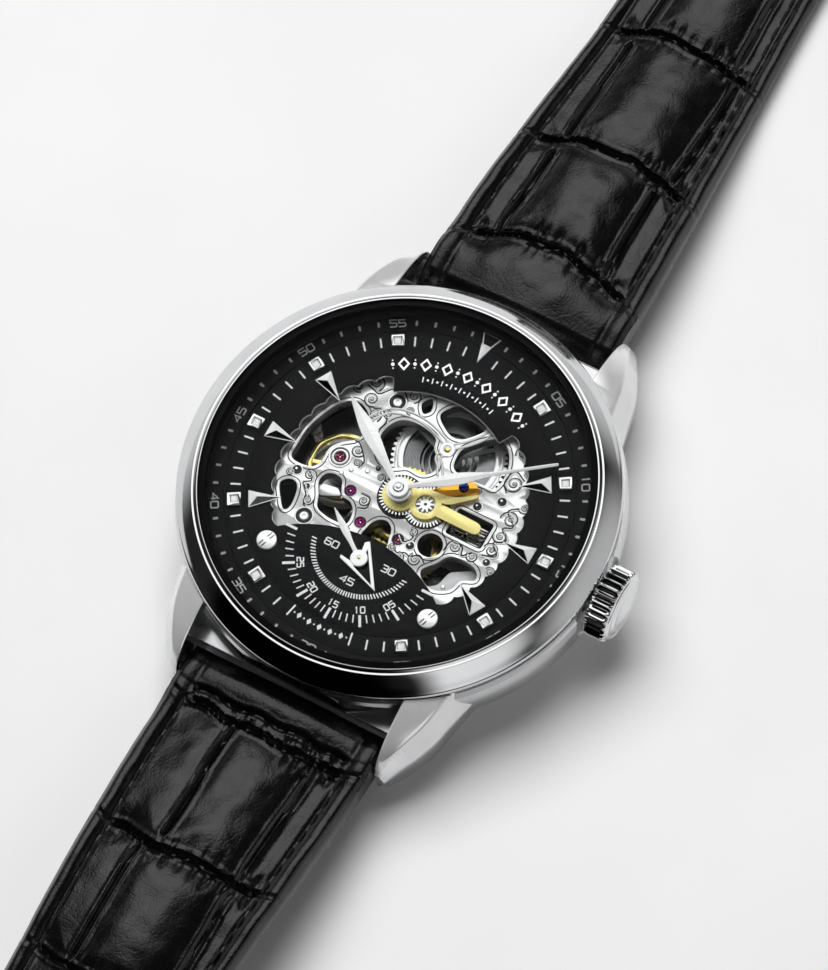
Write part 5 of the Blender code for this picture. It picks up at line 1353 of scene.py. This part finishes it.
def jewels():
    """Red stones in bright settings, and the balance's cap with its shock spring."""
    for node, spot, size in (("balance_jewel", BALANCE, 1.35), ("pallet_jewel", PALLET, 0.55),
                             ("escape_jewel", ESCAPE, 0.55), ("third_jewel", THIRD, 0.55)):
        stone = on_plate([(0.14, -0.5), (0.47, -0.5), (0.48, -0.1), (0.42, -0.02), (0.3, -0.04), (0.22, -0.1),
                          (0.14, -0.22)], spot, 48)
        show(stone, node + "_stone", "ruby_stone", "case", node, 50.0)
        # The dark ring round each stone, between it and its setting, is painted shade.
        seat = on_plate([(0.48, -0.3), (0.59, -0.3), (0.59, -0.02), (0.48, -0.06)], spot, 48)
        show(seat, node + "_seat_shade", "dark_line", "case")
        outer = 0.6 + 0.16 * size
        setting = rounded([(0.6, PLATE_TOP - 0.08), (outer, PLATE_TOP - 0.08), (outer, PLATE_TOP + 0.04),
                           (0.63, PLATE_TOP + 0.05)], 0.03, 2)
        show(turned("setting", setting, spot, 56), node + "_setting", "nickel_bright", "case")
    ring = on_plate(rounded([(0.95, -0.05), (1.16, -0.05), (1.16, 0.07), (0.95, 0.07)], 0.04, 2), BALANCE, 64)
    show(ring, "balance_cap_ring", "nickel_bright", "case")
    # The dark ring inside the cap ring is painted shade in the gap.
    gap = on_plate([(0.84, -0.05), (0.94, -0.05), (0.94, 0.01), (0.84, 0.01)], BALANCE, 64)
    show(gap, "balance_cap_gap_shade", "dark_line", "case")
    arms = []
    for k in range(3):
        place = at_angle(120.0 * k + 20.0, BALANCE)
        path = curve_through([place(0.0, 0.52), place(0.12, 0.3), place(0.0, 0.14)], 5)
        arms.append(plate_wire(path, 0.0, 0.045))
    show(join("arms", arms), "shock_spring", "gilt_bright", "case", crease=60.0)


def toothed(count, root, tip, centre):
    """Outline of a toothed rim with plain wedge teeth."""
    points = []
    for i in range(count):
        for radius, share in ((root, 0.0), (root, 0.32), (tip, 0.5), (tip, 0.82)):
            points.append(polar(radius, 360.0 * (i + share) / count, centre))
    return points


def motion_cover():
    """Gilt cover over the motion work: a narrow ring, an eye over the minute wheel, a long bar and an arm."""
    top = node_box("motion_cover")[1].z
    bottom = top - 0.2
    bar = [(3.9, -0.45), (8.2, -0.45), (8.62, -0.3), (8.8, 0.1), (8.62, 0.6), (8.2, 0.78), (4.2, 0.9)]
    arm = [(1.5, 0.9), (3.6, 1.0), (4.7, 1.2), (5.7, 2.0), (6.8, 3.0), (6.7, 3.35), (5.5, 2.5), (4.3, 1.95),
           (2.8, 1.75), (1.3, 1.2)]
    # Each part is a hair thinner than the one before it, so that no two faces of the union lie in one plane.
    cover, *others = [prism("part", [outline], bottom + 0.01 * k, top - 0.01 * k) for k, outline in enumerate(
        (circle(1.74, count=72), circle(1.58, MINUTE_POST, 64), rounded(bar, 0.25, 4), smooth_loop(arm)))]
    union(cover, *others)
    cut(cover, prism("bore", [circle(1.08, count=64)], -1.0, 0.0),
        prism("bore", [circle(0.98, MINUTE_POST, 48)], -1.5, 0.0))
    show(soften(cover, 0.05, 2), "cover_plate", "cover_gilt", "case", "motion_cover")


def motion_wheels():
    """Hour wheel and minute wheel, with teeth open enough to read at arm's length."""
    low, high = node_box("hour_wheel")
    tip = (high.x - low.x) / 2.0 - 0.01
    disc = prism("disc", [toothed(36, tip - 0.42, tip, CENTRE), circle(0.75, count=48)], low.z, low.z + 0.18)
    pipe = turned("pipe", [(0.64, low.z), (0.86, low.z), (0.86, high.z), (0.64, high.z)], segments=48)
    show(join("wheel", [disc, pipe]), "hour_wheel_face", "nickel_bright", "hour", "hour_wheel", 20.0)
    low, high = node_box("minute_wheel")
    tip = (high.x - low.x) / 2.0 - 0.01
    bore = circle(0.16, MINUTE_POST, 24)
    disc = prism("disc", [toothed(40, tip - 0.4, tip, MINUTE_POST), bore], low.z, low.z + 0.17)
    star = prism("star", [toothed(10, 0.5, 0.82, MINUTE_POST), bore], low.z, high.z)
    show(join("wheel", [disc, star]), "minute_wheel_face", "nickel_bright", "minute_wheel", "minute_wheel",
         20.0)


def barrel_face():
    """Barrel's toothed rim and plain cover ring, with its hub and three arms."""
    low, high = node_box("barrel")
    top = high.z - 0.04
    rim = prism("rim", [toothed(60, 5.45, (high.x - low.x) / 2.0 - 0.02, BARREL), circle(5.1, BARREL, 84)],
                top - 0.4, top)
    show(rim, "barrel_rim", "nickel_bright", "barrel", crease=20.0)
    cover = turned("cover", rounded([(4.5, top - 0.22), (5.12, top - 0.22), (5.12, top + 0.02), (4.5, top + 0.02)],
                                    0.05, 2), BARREL, 96)
    hub = turned("hub", [(0.7, top - 0.22), (1.25, top - 0.22), (1.2, top - 0.02), (0.7, top + 0.0)], BARREL, 48)
    arms = []
    for k in range(3):
        place = at_angle(50.0 + 120.0 * k, BARREL)
        corners = [place(-0.28, 1.1), place(0.28, 1.1), place(0.2, 4.55), place(-0.2, 4.55)]
        arms.append(prism("arm", [corners], top - 0.2, top - 0.05))
    show(join("cover", [cover, hub, *arms]), "barrel_cover_ring", "nickel_bright", "barrel", "barrel_cover")


def barrel_arms():
    """Raised band that runs across the barrel to its pivot, with its upper pivot bush."""
    bands = []
    for line in (
        [(-7.0, 5.4), (-5.6, 7.3), (-3.6, 8.0), (-1.4, 7.9), (0.6, 7.2), (1.3, 6.75)],
        [(4.7, 10.3), (4.1, 9.1), (3.2, 8.0), (2.2, 7.1), (1.9, 6.8)],
        [(1.5, 6.0), (1.2, 5.3), (1.75, 4.6), (2.3, 3.7)],
    ):
        path = curve_through(line, 8)
        bands += [plate_wire(shifted(path, offset), -0.01, 0.13, sides=10) for offset in (-0.24, 0.24)]
    show(join("bands", bands), "barrel_bands", "nickel_bright", "case", crease=60.0)
    bush = on_plate([(0.33, -0.1), (0.8, -0.1), (0.8, 0.06), (0.72, 0.12), (0.46, 0.12), (0.4, 0.04), (0.33, 0.04)],
                    BARREL, 48)
    show(bush, "barrel_bush", "nickel_bright", "case")


def spiral(centre, inner, outer, turns, width, bottom, top):
    """Flat spiral ribbon."""
    per_turn = 48
    count = int(turns * per_turn)
    sections = []
    for i in range(count + 1):
        radius = inner + (outer - inner) * i / count
        angle = 360.0 * i / per_turn
        near = polar(radius - width / 2.0, angle, centre)
        far = polar(radius + width / 2.0, angle, centre)
        sections.append([(*near, bottom), (*far, bottom), (*far, top), (*near, top)])
    return loft("coils", sections)


# CAD nodes that keep their own shape with rounded edges: node, finish, body, slot, edge radius.
REFINED = (
    ("balance_wheel", "gilt_bright", "balance", "gilt", 0.06),
    ("barrel_bridge", "nickel_striped", "case", "nickel", 0.1),
    ("train_bridge", "nickel_striped", "case", "nickel", 0.1),
    ("balance_cock", "nickel_striped", "case", "nickel", 0.1),
    ("rotor_bearing", "mirror_steel", "case", "steel_polished", 0.06),
    ("movement_ring", "holder_black", "case", "holder_black", 0.08),
    ("barrel", "nickel_bright", "barrel", "nickel", 0.03),
    ("barrel_arbor", "gilt_bright", "barrel_arbor", "gilt", 0.04),
    ("ratchet_wheel", "nickel_striped", "barrel_arbor", "nickel", 0.03),
    ("centre_wheel", "gilt", "minute", "gilt", 0.025),
    ("cannon_pinion", "mirror_steel", "minute", "steel_polished", 0.025),
    ("third_wheel", "gilt", "third_wheel", "gilt", 0.02),
    ("fourth_wheel", "gilt", "seconds", "gilt", 0.02),
    ("escape_wheel", "mirror_steel", "escape_wheel", "steel_polished", 0.015),
    ("pallet_fork", "mirror_steel", "pallet_fork", "steel_polished", 0.03),
    ("reduction_wheel", "gilt", "reduction_wheel", "gilt", 0.03),
    ("rotor", "nickel_striped", "rotor", "nickel", 0.09),
    ("click", "mirror_steel", "click", "steel_polished", 0.04),
    ("clutch_wheel", "mirror_steel", "clutch_wheel", "steel_dark", 0.03),
    ("winding_pinion", "mirror_steel", "winding_pinion", "steel_dark", 0.03),
    ("winding_stem", "mirror_steel", "crown", "steel_polished", 0.04),
    ("crown_tube", "satin_bar", "case", "steel_brushed", 0.05),
    ("crown_gasket", "rubber", "crown_slide", "rubber", 0.05),
    ("back_gasket", "rubber", "case", "rubber", 0.05),
)


def refined_parts():
    """Wheels, bridges and seals in their CAD shapes, with painted shade on the bridges' upper faces under the plate.
    """
    for row in REFINED:
        refined(*row)
    # The bridges' upper faces, under the plate, get painted shade.
    for name in ("barrel_bridge_fine", "train_bridge_fine", "balance_cock_fine"):
        paint_shade_faces(bpy.data.objects[name], lambda face: face.normal.z > 0.5)


def springs():
    """The two coils of the mainspring."""
    low, high = node_box("mainspring")
    coils = [spiral(BARREL, 0.95, 2.9, 3.0, 0.12, low.z, high.z),
             spiral(BARREL, 2.9, 4.75, 13.0, 0.11, low.z, high.z)]
    show(join("coils", coils), "mainspring_coils", "spring_steel", "barrel", "mainspring", 40.0)


def setting_lever():
    """Amber lever with a blued screw."""
    outline = smooth_loop([(2.4, 1.75), (3.3, 1.95), (4.4, 1.9), (5.5, 2.4), (6.5, 3.2), (6.6, 3.8), (6.2, 4.2),
                           (5.5, 4.4), (4.4, 3.8), (3.4, 2.9)])
    lever = soften(prism("lever", [outline], -0.93, -0.72), 0.08, 3)
    show(lever, "lever_plate", "amber", "setting_lever", "setting_lever")
    low, high = node_box("hairspring")
    show(spiral(BALANCE, 0.5, 1.82, 7.0, 0.045, low.z, high.z), "hairspring_coils", "blued_steel", "case",
         "hairspring", 40.0)
    spot = (5.1, 3.5)
    screw = turned("screw", [(0.0, -0.86), (0.5, -0.86), (0.5, -0.62), (0.42, -0.54), (0.0, -0.52)], spot, 40)
    cut(screw, prism("slot", [patch(at_angle(20.0, spot), 0.07, -0.7, 0.7)], -0.62, 0.0))
    show(screw, "lever_screw", "blued_steel", "setting_lever")


def lower_plates():
    """What shows through the plate's windows: regulator studs, cover plates and bars in pale metal, and a dark floor
    under the balance that is painted shade.
    """
    studs = []
    for spot, size in (((-9.6, 2.0), 0.62), ((-10.3, 2.9), 0.3)):
        profile = [(0.0, -5.2), (size, -5.2), (size, -4.95), (size * 0.8, -4.85), (0.0, -4.83)]
        studs.append(turned("stud", profile, spot, 32))
    show(join("studs", studs), "regulator_studs", "gilt_bright", "case")
    backing = turned("backing", [(0.5, -5.1), (3.9, -5.1), (3.9, -4.9), (0.5, -4.9)], BALANCE, 96)
    show(backing, "balance_backing", "satin_grey", "case")
    wedge = bent_plate([(5.0, -7.4), (7.2, -5.9), (7.6, -4.2), (9.6, -3.0), (10.6, -3.6), (9.0, -5.2), (8.6, -7.2),
                        (6.6, -8.2)], -3.2, -2.75)
    show(soften(wedge, 0.06, 2), "setting_cover", "satin_grey", "case")
    bar = bent_plate([(-8.4, -2.9), (-7.6, -2.0), (-6.0, -1.75), (-5.3, -2.4), (-6.4, -2.9), (-7.4, -3.3)],
                     -2.2, -1.7)
    show(soften(bar, 0.08, 2), "pallet_cock_bar", "nickel_bright", "case")
    # Dark floor under the balance: painted shade for the deep space beyond the windows.
    outline = smooth_loop([(-11.4, -1.0), (-8.4, -1.2), (-6.2, 0.6), (-5.0, 3.0), (-6.0, 6.4), (-8.6, 8.0),
                           (-10.6, 6.4), (-11.6, 3.0)])
    show(soften(prism("floor", [outline], -5.4, -5.1), 0.06, 1), "balance_floor_shade", "bridge_inside", "case")


# ---------------------------------------------------------------- strap

STRAP_WIDTH = node_box("strap_buckle_side")[1].x * 2.0
STRAP_END_WIDTH = 18.0
STRAP_THICKNESS = 4.4
STRAP_THIN = 2.4
STRAP_END_RADIUS = 2.1
STRAP_ACROSS = 108
BUCKLE_BAR = pivot("buckle_hinge")[1]
BUCKLE_BAR_Z = (node_box("buckle_bar")[0].z + node_box("buckle_bar")[1].z) / 2.0
BUCKLE_SIDE_LINE = [
    (BAR_Y, BAR_Z), (28.0, -3.95), (36.0, -4.35), (46.0, -5.55), (56.0, -6.8), (66.0, -7.15), (78.0, -7.1),
    (90.0, -7.1), (BUCKLE_BAR, BUCKLE_BAR_Z),
]
TAIL_SIDE_LINE = [
    (BAR_Y, BAR_Z), (28.0, -3.6), (37.0, -1.9), (46.0, -0.4), (56.0, 0.2), (68.0, -0.7), (82.0, -3.6),
    (96.0, -6.9), (108.0, -8.15), (122.0, -8.2), (137.0, -8.2),
]
# Creases across the strap, as (distance from the dial's axis, bow in the middle, depth).
BUCKLE_CREASES = [(28.6, 2.0, 0.5), (41.6, 1.2, 0.55), (56.5, 1.4, 0.5), (69.5, 0.8, 0.3), (94.5, 0.4, 0.2)]
TAIL_CREASES = [(25.6, 0.3, 0.42), (27.0, 0.5, 0.5), (41.4, 0.7, 0.55), (55.5, 0.9, 0.5), (68.5, 0.7, 0.45),
                (81.0, 0.5, 0.3), (94.0, 0.5, 0.25), (107.0, 0.4, 0.2), (120.0, 0.3, 0.2)]
# Creases along the strap, as (x, from, to, depth).
BUCKLE_LONG_CREASES = [(-5.8, 29.5, 41.0, 0.45), (5.6, 30.0, 41.5, 0.5), (-5.4, 42.5, 56.0, 0.45),
                       (6.4, 43.0, 57.0, 0.5), (-4.6, 58.0, 69.0, 0.4), (5.2, 58.0, 69.5, 0.4),
                       (0.4, 70.5, 93.0, 0.22)]
TAIL_LONG_CREASES = [(-2.7, 27.5, 41.0, 0.5), (6.0, 27.5, 41.5, 0.4), (-4.2, 42.0, 55.5, 0.45),
                     (5.8, 42.5, 55.5, 0.4), (-3.0, 56.5, 68.0, 0.4), (4.4, 56.5, 68.5, 0.4),
                     (-4.4, 69.5, 80.5, 0.25), (4.4, 69.5, 80.5, 0.25), (-4.2, 82.0, 93.5, 0.2),
                     (4.2, 82.0, 93.5, 0.2), (-4.0, 95.0, 106.5, 0.18), (4.0, 95.0, 106.5, 0.18)]


def strap_width(run):
    """Width of a strap at a run from its spring bar."""
    return STRAP_WIDTH - (STRAP_WIDTH - STRAP_END_WIDTH) * ease(run, 2.0, 48.0)


def strap_thickness(run):
    """Thickness of a strap at a run from its spring bar."""
    return STRAP_THICKNESS - (STRAP_THICKNESS - STRAP_THIN) * ease(run, 6.0, 45.0)


def strap_stations(line, end_loop):
    """Close stations along a strap: spot, heading, width, thickness, and run from the spring bar."""
    step = 0.21
    tip_length = 12.0
    loop_degrees = (6.0, 14.0, 24.0, 35.0, 47.0, 60.0, 74.0)
    path = curve_through(line, 40)
    runs = [0.0]
    for before, after in zip(path, path[1:]):
        runs.append(runs[-1] + (after - before).length)
    length = runs[-1]
    count = int(length / step)
    stations = []
    heading = (path[1] - path[0]).normalized()
    for degrees in loop_degrees:
        back = STRAP_END_RADIUS * math.cos(math.radians(degrees))
        thickness = 2.0 * STRAP_END_RADIUS * math.sin(math.radians(degrees))
        stations.append((path[0] - heading * back, heading, STRAP_WIDTH, thickness, -back))
    j = 0
    for i in range(count + 1):
        run = length * i / count
        while j < len(runs) - 2 and runs[j + 1] < run:
            j += 1
        share = (run - runs[j]) / (runs[j + 1] - runs[j])
        spot = path[j].lerp(path[j + 1], share)
        heading = (path[min(len(path) - 1, j + 5)] - path[max(0, j - 4)]).normalized()
        width = strap_width(run)
        if not end_loop:
            past = max(0.0, (run - (length - tip_length)) / tip_length)
            width *= math.sqrt(max(0.03, 1.0 - past * past))
        stations.append((spot, heading, width, strap_thickness(run), run))
    if end_loop:
        for degrees in reversed(loop_degrees):
            forward = end_loop * math.cos(math.radians(degrees))
            thickness = 2.0 * end_loop * math.sin(math.radians(degrees))
            spot = path[-1] + heading * forward
            stations.append((spot, heading, STRAP_END_WIDTH, thickness, length + forward))
    return stations


def wobble(value, seed, size, scale):
    """Uneven shift from noise, the same each run."""
    return size * noise.noise(Vector((value * scale, seed, 0.3)))


def furrow(away, deep):
    """Depth of the hide beside a crease: a narrow cut with a lip, in the hollow between two puffed scales."""
    cut_in = 0.5 * math.exp(-(away / 0.2) ** 2)
    lip = 0.4 * math.exp(-((away - 0.52) / 0.2) ** 2)
    hollow = 1.5 * math.exp(-away / 1.5)
    return deep * (cut_in - lip + hollow)


def crease_depth(x, y, creases, long_creases):
    """How far the embossed hide lies below its puffed surface at (x, y), in millimetres."""
    depth = 0.0
    ripple = 0.0
    for k, (spot, bow, deep) in enumerate(creases):
        if abs(y - spot) > 6.0:
            continue
        line = spot + bow * (1.0 - (x / 9.0) ** 2) + wobble(x, 3.1 * k, 0.45, 0.4)
        away = abs(y - line)
        depth = max(depth, furrow(away, deep))
        fold = max(0.0, math.sin(x * 4.3 + wobble(x, 7.7 + k, 6.0, 0.4))) ** 2
        patch = ease(0.5 + noise.noise(Vector((x * 0.22, 5.0 * k, 1.7))), 0.25, 0.6)
        side = 1.0 if y > line else 0.5
        ripple += side * patch * 0.55 * deep * fold * math.exp(-((away - 1.1) / 0.75) ** 2)
    for k, (spot, start, end, deep) in enumerate(long_creases):
        if start - 1.5 < y < end + 1.5:
            line = spot + wobble(y, 20.0 + 2.3 * k, 0.4, 0.14)
            share = ease(y, start - 1.0, start + 0.6) * (1.0 - ease(y, end - 0.6, end + 1.0))
            depth = max(depth, share * furrow(abs(x - line), deep))
    return depth + ripple


def puff(u):
    """Drop of the hide below its crown for u from -1 to 1 across the strap, in millimetres."""
    edge = abs(u)
    crown = 1.25 * ease(edge, 0.1, 0.88) + 0.25 * edge * edge
    stitch = 0.22 * math.exp(-((edge - 0.8) / 0.025) ** 2)
    roll = 0.25 * ease(edge, 0.82, 0.89) * (1.0 - ease(edge, 0.92, 0.99))
    rim = 0.6 * ease(edge, 0.94, 1.0) ** 2
    return crown + stitch - roll + rim


def strap_mesh(side, stations, creases, long_creases):
    """Padded leather strap with an embossed top, rounded edges and a flat lining side."""
    length = stations[-1][4]
    rows = []
    for spot, heading, width, thickness, run in stations:
        up = Vector((-heading.y, heading.x))
        half = width / 2.0
        padding = ease(thickness, 0.6, 2.4)
        slim = 0.2 + 0.8 * ease(width, 2.0, 15.0)
        fade = ease(run, 0.4, 3.0) * (1.0 - ease(run, length - 5.0, length - 2.0)) * (0.5 + 0.5 * thickness / 4.4)
        row = []
        for i in range(STRAP_ACROSS + 1):
            u = -1.0 + 2.0 * i / STRAP_ACROSS
            u = math.copysign(abs(u) ** 0.9, u)
            x = half * u
            drop = (0.55 + 0.45 * padding) * min(1.0, thickness / 3.0) * (0.5 + 0.5 * ease(run, 2.0, 7.0))
            top = thickness * 0.5 - puff(u) * drop
            edge_fade = 1.0 - 0.75 * ease(abs(u), 0.74, 0.8)
            sink = crease_depth(x, abs(spot.x), creases, long_creases) * fade * edge_fade
            fine = 0.1 * noise.noise(Vector((x * 0.5, spot.x * 0.5, 2.0))) * fade
            height = (top - sink + fine - 0.1) * slim - 0.1 * thickness * (1.0 - slim)
            point = spot + up * max(height, -thickness * 0.3)
            row.append((x, side * point.x, point.y))
        low = spot + up * (-0.36 * thickness)
        row.append((half, side * low.x, low.y))
        for i in range(1, 13):
            u = 1.0 - 2.0 * i / 13
            x = (half - 0.12) * math.copysign(abs(u) ** 0.8, u)
            point = spot + up * (-thickness / 2.0)
            row.append((x, side * point.x, point.y))
        row.append((-half, side * low.x, low.y))
        rows.append(row)
    return loft("strap", rows), rows


def paint_lining(piece, stations, side):
    """Give the underside its own leather."""
    mesh = piece.data
    mesh.materials.append(FINISH["lining_leather"])
    spots = np.array([(side * s[0].x, s[0].y) for s in stations])
    for face in mesh.polygons:
        centre = face.center / MM
        k = int(np.argmin(np.abs(spots[:, 0] - centre.y)))
        if centre.z - DIAL_Z < spots[k, 1] - 0.42 * stations[k][3] and face.normal.z < 0.2:
            face.material_index = 1


def stitches(name, body, rows, stations, last):
    """Rows of thread along both edges, each stitch dipping into the leather at its ends."""
    pieces = []
    pitch = 2.1
    inset = 2.1
    first = 3.5
    for edge in (-1.0, 1.0):
        points = []
        for row, (_, _, width, _, run) in zip(rows, stations):
            if first <= run <= last:
                target = edge * (width / 2.0 - inset)
                nearest = min(row[:STRAP_ACROSS + 1], key=lambda point: abs(point[0] - target))
                points.append((Vector((target, nearest[1], nearest[2])), run))
        run = first
        while run + pitch <= last:
            inside = [p for p, at in points if run + 0.3 <= at <= run + pitch - 0.3]
            run += pitch
            if len(inside) < 3:
                continue
            lifts = [0.13 * math.sin(math.pi * i / (len(inside) - 1)) ** 0.5 - 0.04 for i in range(len(inside))]
            pieces.append(wire([p + Vector((0.0, 0.0, lift)) for p, lift in zip(inside, lifts)], 0.15, sides=6))
    show(join(name, pieces), name, "waxed_thread", body, crease=60.0)


def strap(node, side, line, end_loop, creases, long_creases, cuts, last_stitch, gaps=()):
    """One padded strap with its cuts, its lining and its stitching."""
    name = node.removesuffix("_side")
    stations = strap_stations(line, end_loop)
    made, rows = strap_mesh(side, stations, creases, long_creases)
    tunnel = rod_x("tunnel", 0.95, -15.0, 15.0, side * BAR_Y, BAR_Z)
    cut(made, join("cuts", [tunnel, *cuts]), *gaps)
    show(made, name + "_leather", "glossy_leather", node, node, 50.0)
    paint_lining(made, stations, side)
    stitches(name + "_stitching", node, rows, stations, last_stitch)


def straps():
    """Both straps, with their cuts, and the spring bars they hang on."""
    bar_tunnel = rod_x("tunnel", 0.8, -12.0, 12.0, BUCKLE_BAR, BUCKLE_BAR_Z)
    tongue_gap = block("gap", (-1.5, BUCKLE_BAR - 2.6, BUCKLE_BAR_Z - 3.0),
                       (1.5, BUCKLE_BAR + 3.0, BUCKLE_BAR_Z + 3.0))
    strap("strap_buckle_side", 1.0, BUCKLE_SIDE_LINE, 1.5, BUCKLE_CREASES, BUCKLE_LONG_CREASES, [bar_tunnel], 72.0,
          [tongue_gap])
    holes = [prism("hole", [circle(1.0, (0.0, -74.0 - 6.5 * i), 28)], -13.0, 4.0) for i in range(7)]
    strap("strap_tail_side", -1.0, TAIL_SIDE_LINE, 0.0, TAIL_CREASES, TAIL_LONG_CREASES, holes, 104.0)
    for node in ("spring_bar_top", "spring_bar_bottom"):
        refined(node, "satin_bar", "case", "steel_brushed", 0.08)


def keeper(node, body):
    """Leather loop with rounded walls."""
    low, high = node_box(node)
    wall = 1.0

    def ring(y, shrink, corner):
        outline = [(low.x + shrink, low.z + shrink), (high.x - shrink, low.z + shrink),
                   (high.x - shrink, high.z - shrink), (low.x + shrink, high.z - shrink)]
        return [(x, y, z) for x, z in rounded(outline, corner, 5)]

    rows = []
    for share in (0.0, 0.04, 0.12, 0.5, 0.88, 0.96, 1.0):
        shrink = 0.5 * wall * (abs(share - 0.5) * 2.0) ** 6
        rows.append(ring(low.y + (high.y - low.y) * share, shrink, 1.3))
    rows += [ring(low.y + (high.y - low.y) * share, wall, 0.8) for share in (1.0, 0.5, 0.0)]
    show(loft(node, rows, closed=True), node + "_loop", "glossy_leather", body, node, 50.0)


def buckle():
    """Buckle frame, tongue and bar."""
    refined("buckle_frame", "mirror_steel", "buckle", "steel_polished", 0.45, segments=4)
    refined("buckle_tongue", "mirror_steel", "tongue", "steel_polished", 0.25, segments=3)
    refined("buckle_bar", "satin_bar", "strap_buckle_side", "steel_brushed", 0.08)


# ---------------------------------------------------------------- stage

def floor():
    """Pale ground under the watch."""
    size = 1200.0
    height = -DIAL_Z - 0.02
    made = mesh_object("floor", [(-size, -size, height), (size, -size, height), (size, size, height),
                                 (-size, size, height)], [(0, 1, 2, 3)])
    finish = Nodes("pale_floor", (0.84, 0.84, 0.84), 0.0, 0.5)
    stops = [(0.3, (0.82, 0.82, 0.82)), (0.7, (0.86, 0.86, 0.86))]
    finish.link(finish.ramp(finish.noise(finish.scaled(30.0)), stops), "Base Color")
    made.data.materials.append(finish.material)


def sky_patch(tree, place, direction, inner, outer, low, high):
    """Value that changes from low to high inside a round patch of the sky, angles in degrees."""
    facing = add_node(tree, "VectorMath", {0: place, 1: Vector(direction).normalized()}, "Value",
                      operation="DOT_PRODUCT")
    return add_node(tree, "MapRange", {"Value": facing, "From Min": math.cos(math.radians(outer)),
                                       "From Max": math.cos(math.radians(inner)), "To Min": low, "To Max": high},
                    "Result", interpolation_type="SMOOTHSTEP")


def sky():
    """Pale walls of a soft studio as patches of light, and a dark gap low down on the near side."""
    world = bpy.data.worlds.new("studio")
    bpy.context.scene.world = world
    world.use_nodes = True
    tree = world.node_tree
    place = add_node(tree, "TexCoord", {}, "Generated")
    light = sky_patch(tree, place, (-0.27, 0.5, 0.82), 9.0, 27.0, 0.02, 1.5)
    for direction, inner, outer, strength in (
        ((-0.93, 0.33, -0.1), 8.0, 38.0, 0.65),
        ((0.92, 0.33, 0.15), 8.0, 38.0, 0.5),
        ((0.62, -0.52, 0.58), 8.0, 30.0, 0.9),
        ((0.0, 0.95, -0.05), 10.0, 40.0, 0.6),
    ):
        wall = sky_patch(tree, place, direction, inner, outer, 0.0, strength)
        light = add_node(tree, "Math", {0: light, 1: wall}, operation="ADD")
    gap = sky_patch(tree, place, (-0.15, -0.93, 0.33), 36.0, 49.0, 1.0, 0.02)
    light = add_node(tree, "Math", {0: light, 1: gap}, operation="MULTIPLY")
    tree.links.new(light, tree.nodes["Background"].inputs["Strength"])
    tree.nodes["Background"].inputs["Color"].default_value = (1.0, 1.0, 1.0, 1.0)


def key_light():
    """Broad soft box overhead that lights dull surfaces only: the sky does the reflections."""
    lamp = bpy.data.lights.new("key", "AREA")
    lamp.shape = "RECTANGLE"
    lamp.size = 0.9
    lamp.size_y = 0.7
    lamp.energy = 10.5
    made = bpy.data.objects.new("key", lamp)
    made.location = (-0.3, 0.3, 0.9)
    made.rotation_mode = "QUATERNION"
    made.rotation_quaternion = (-made.location).to_track_quat("-Z", "Y")
    made.visible_glossy = False
    bpy.context.scene.collection.objects.link(made)


def camera():
    """Camera at the photograph's angle, distance and field of view."""
    azimuth = math.radians(41.137)
    elevation = math.radians(66.148)
    roll = math.radians(-12.832)
    distance = 484.5
    shift_x = -1.385
    shift_y = -0.686
    back = Vector((math.sin(azimuth) * math.cos(elevation), -math.cos(azimuth) * math.cos(elevation),
                   math.sin(elevation)))
    right = Vector((0.0, 0.0, 1.0)).cross(back).normalized()
    up = back.cross(right)
    across = math.cos(roll) * right + math.sin(roll) * up
    above = -math.sin(roll) * right + math.cos(roll) * up
    data = bpy.data.cameras.new("camera")
    data.sensor_width = 36.0
    data.lens = 186.7
    data.clip_start = 0.01
    data.clip_end = 20.0
    made = bpy.data.objects.new("camera", data)
    spot = Vector((0.0, 0.0, DIAL_Z)) - shift_x * across - shift_y * above + distance * back
    turn = Matrix((across, above, back)).transposed().to_4x4()
    made.matrix_world = Matrix.Translation(spot * MM) @ turn
    bpy.context.scene.collection.objects.link(made)
    bpy.context.scene.camera = made


# ---------------------------------------------------------------- the watch

camera()
bpy.context.scene.view_settings.view_transform = "Standard"
sky()
key_light()
floor()
case_band()
case_end_edges()
bezel()
crystal()
chapter_ring()
case_back()
crown()
dial()
minute_marks()
twelve_marker()
darts()
small_seconds_print()
dial_ornaments()
dial_screws()
hour_hand()
minute_hand()
seconds_hand()
main_plate()
engraving()
plate_screws()
jewels()
barrel_arms()
motion_cover()
motion_wheels()
barrel_face()
refined_parts()
springs()
setting_lever()
lower_plates()
straps()
keeper("fixed_keeper", "strap_buckle_side")
keeper("free_keeper", "free_keeper")
buckle()
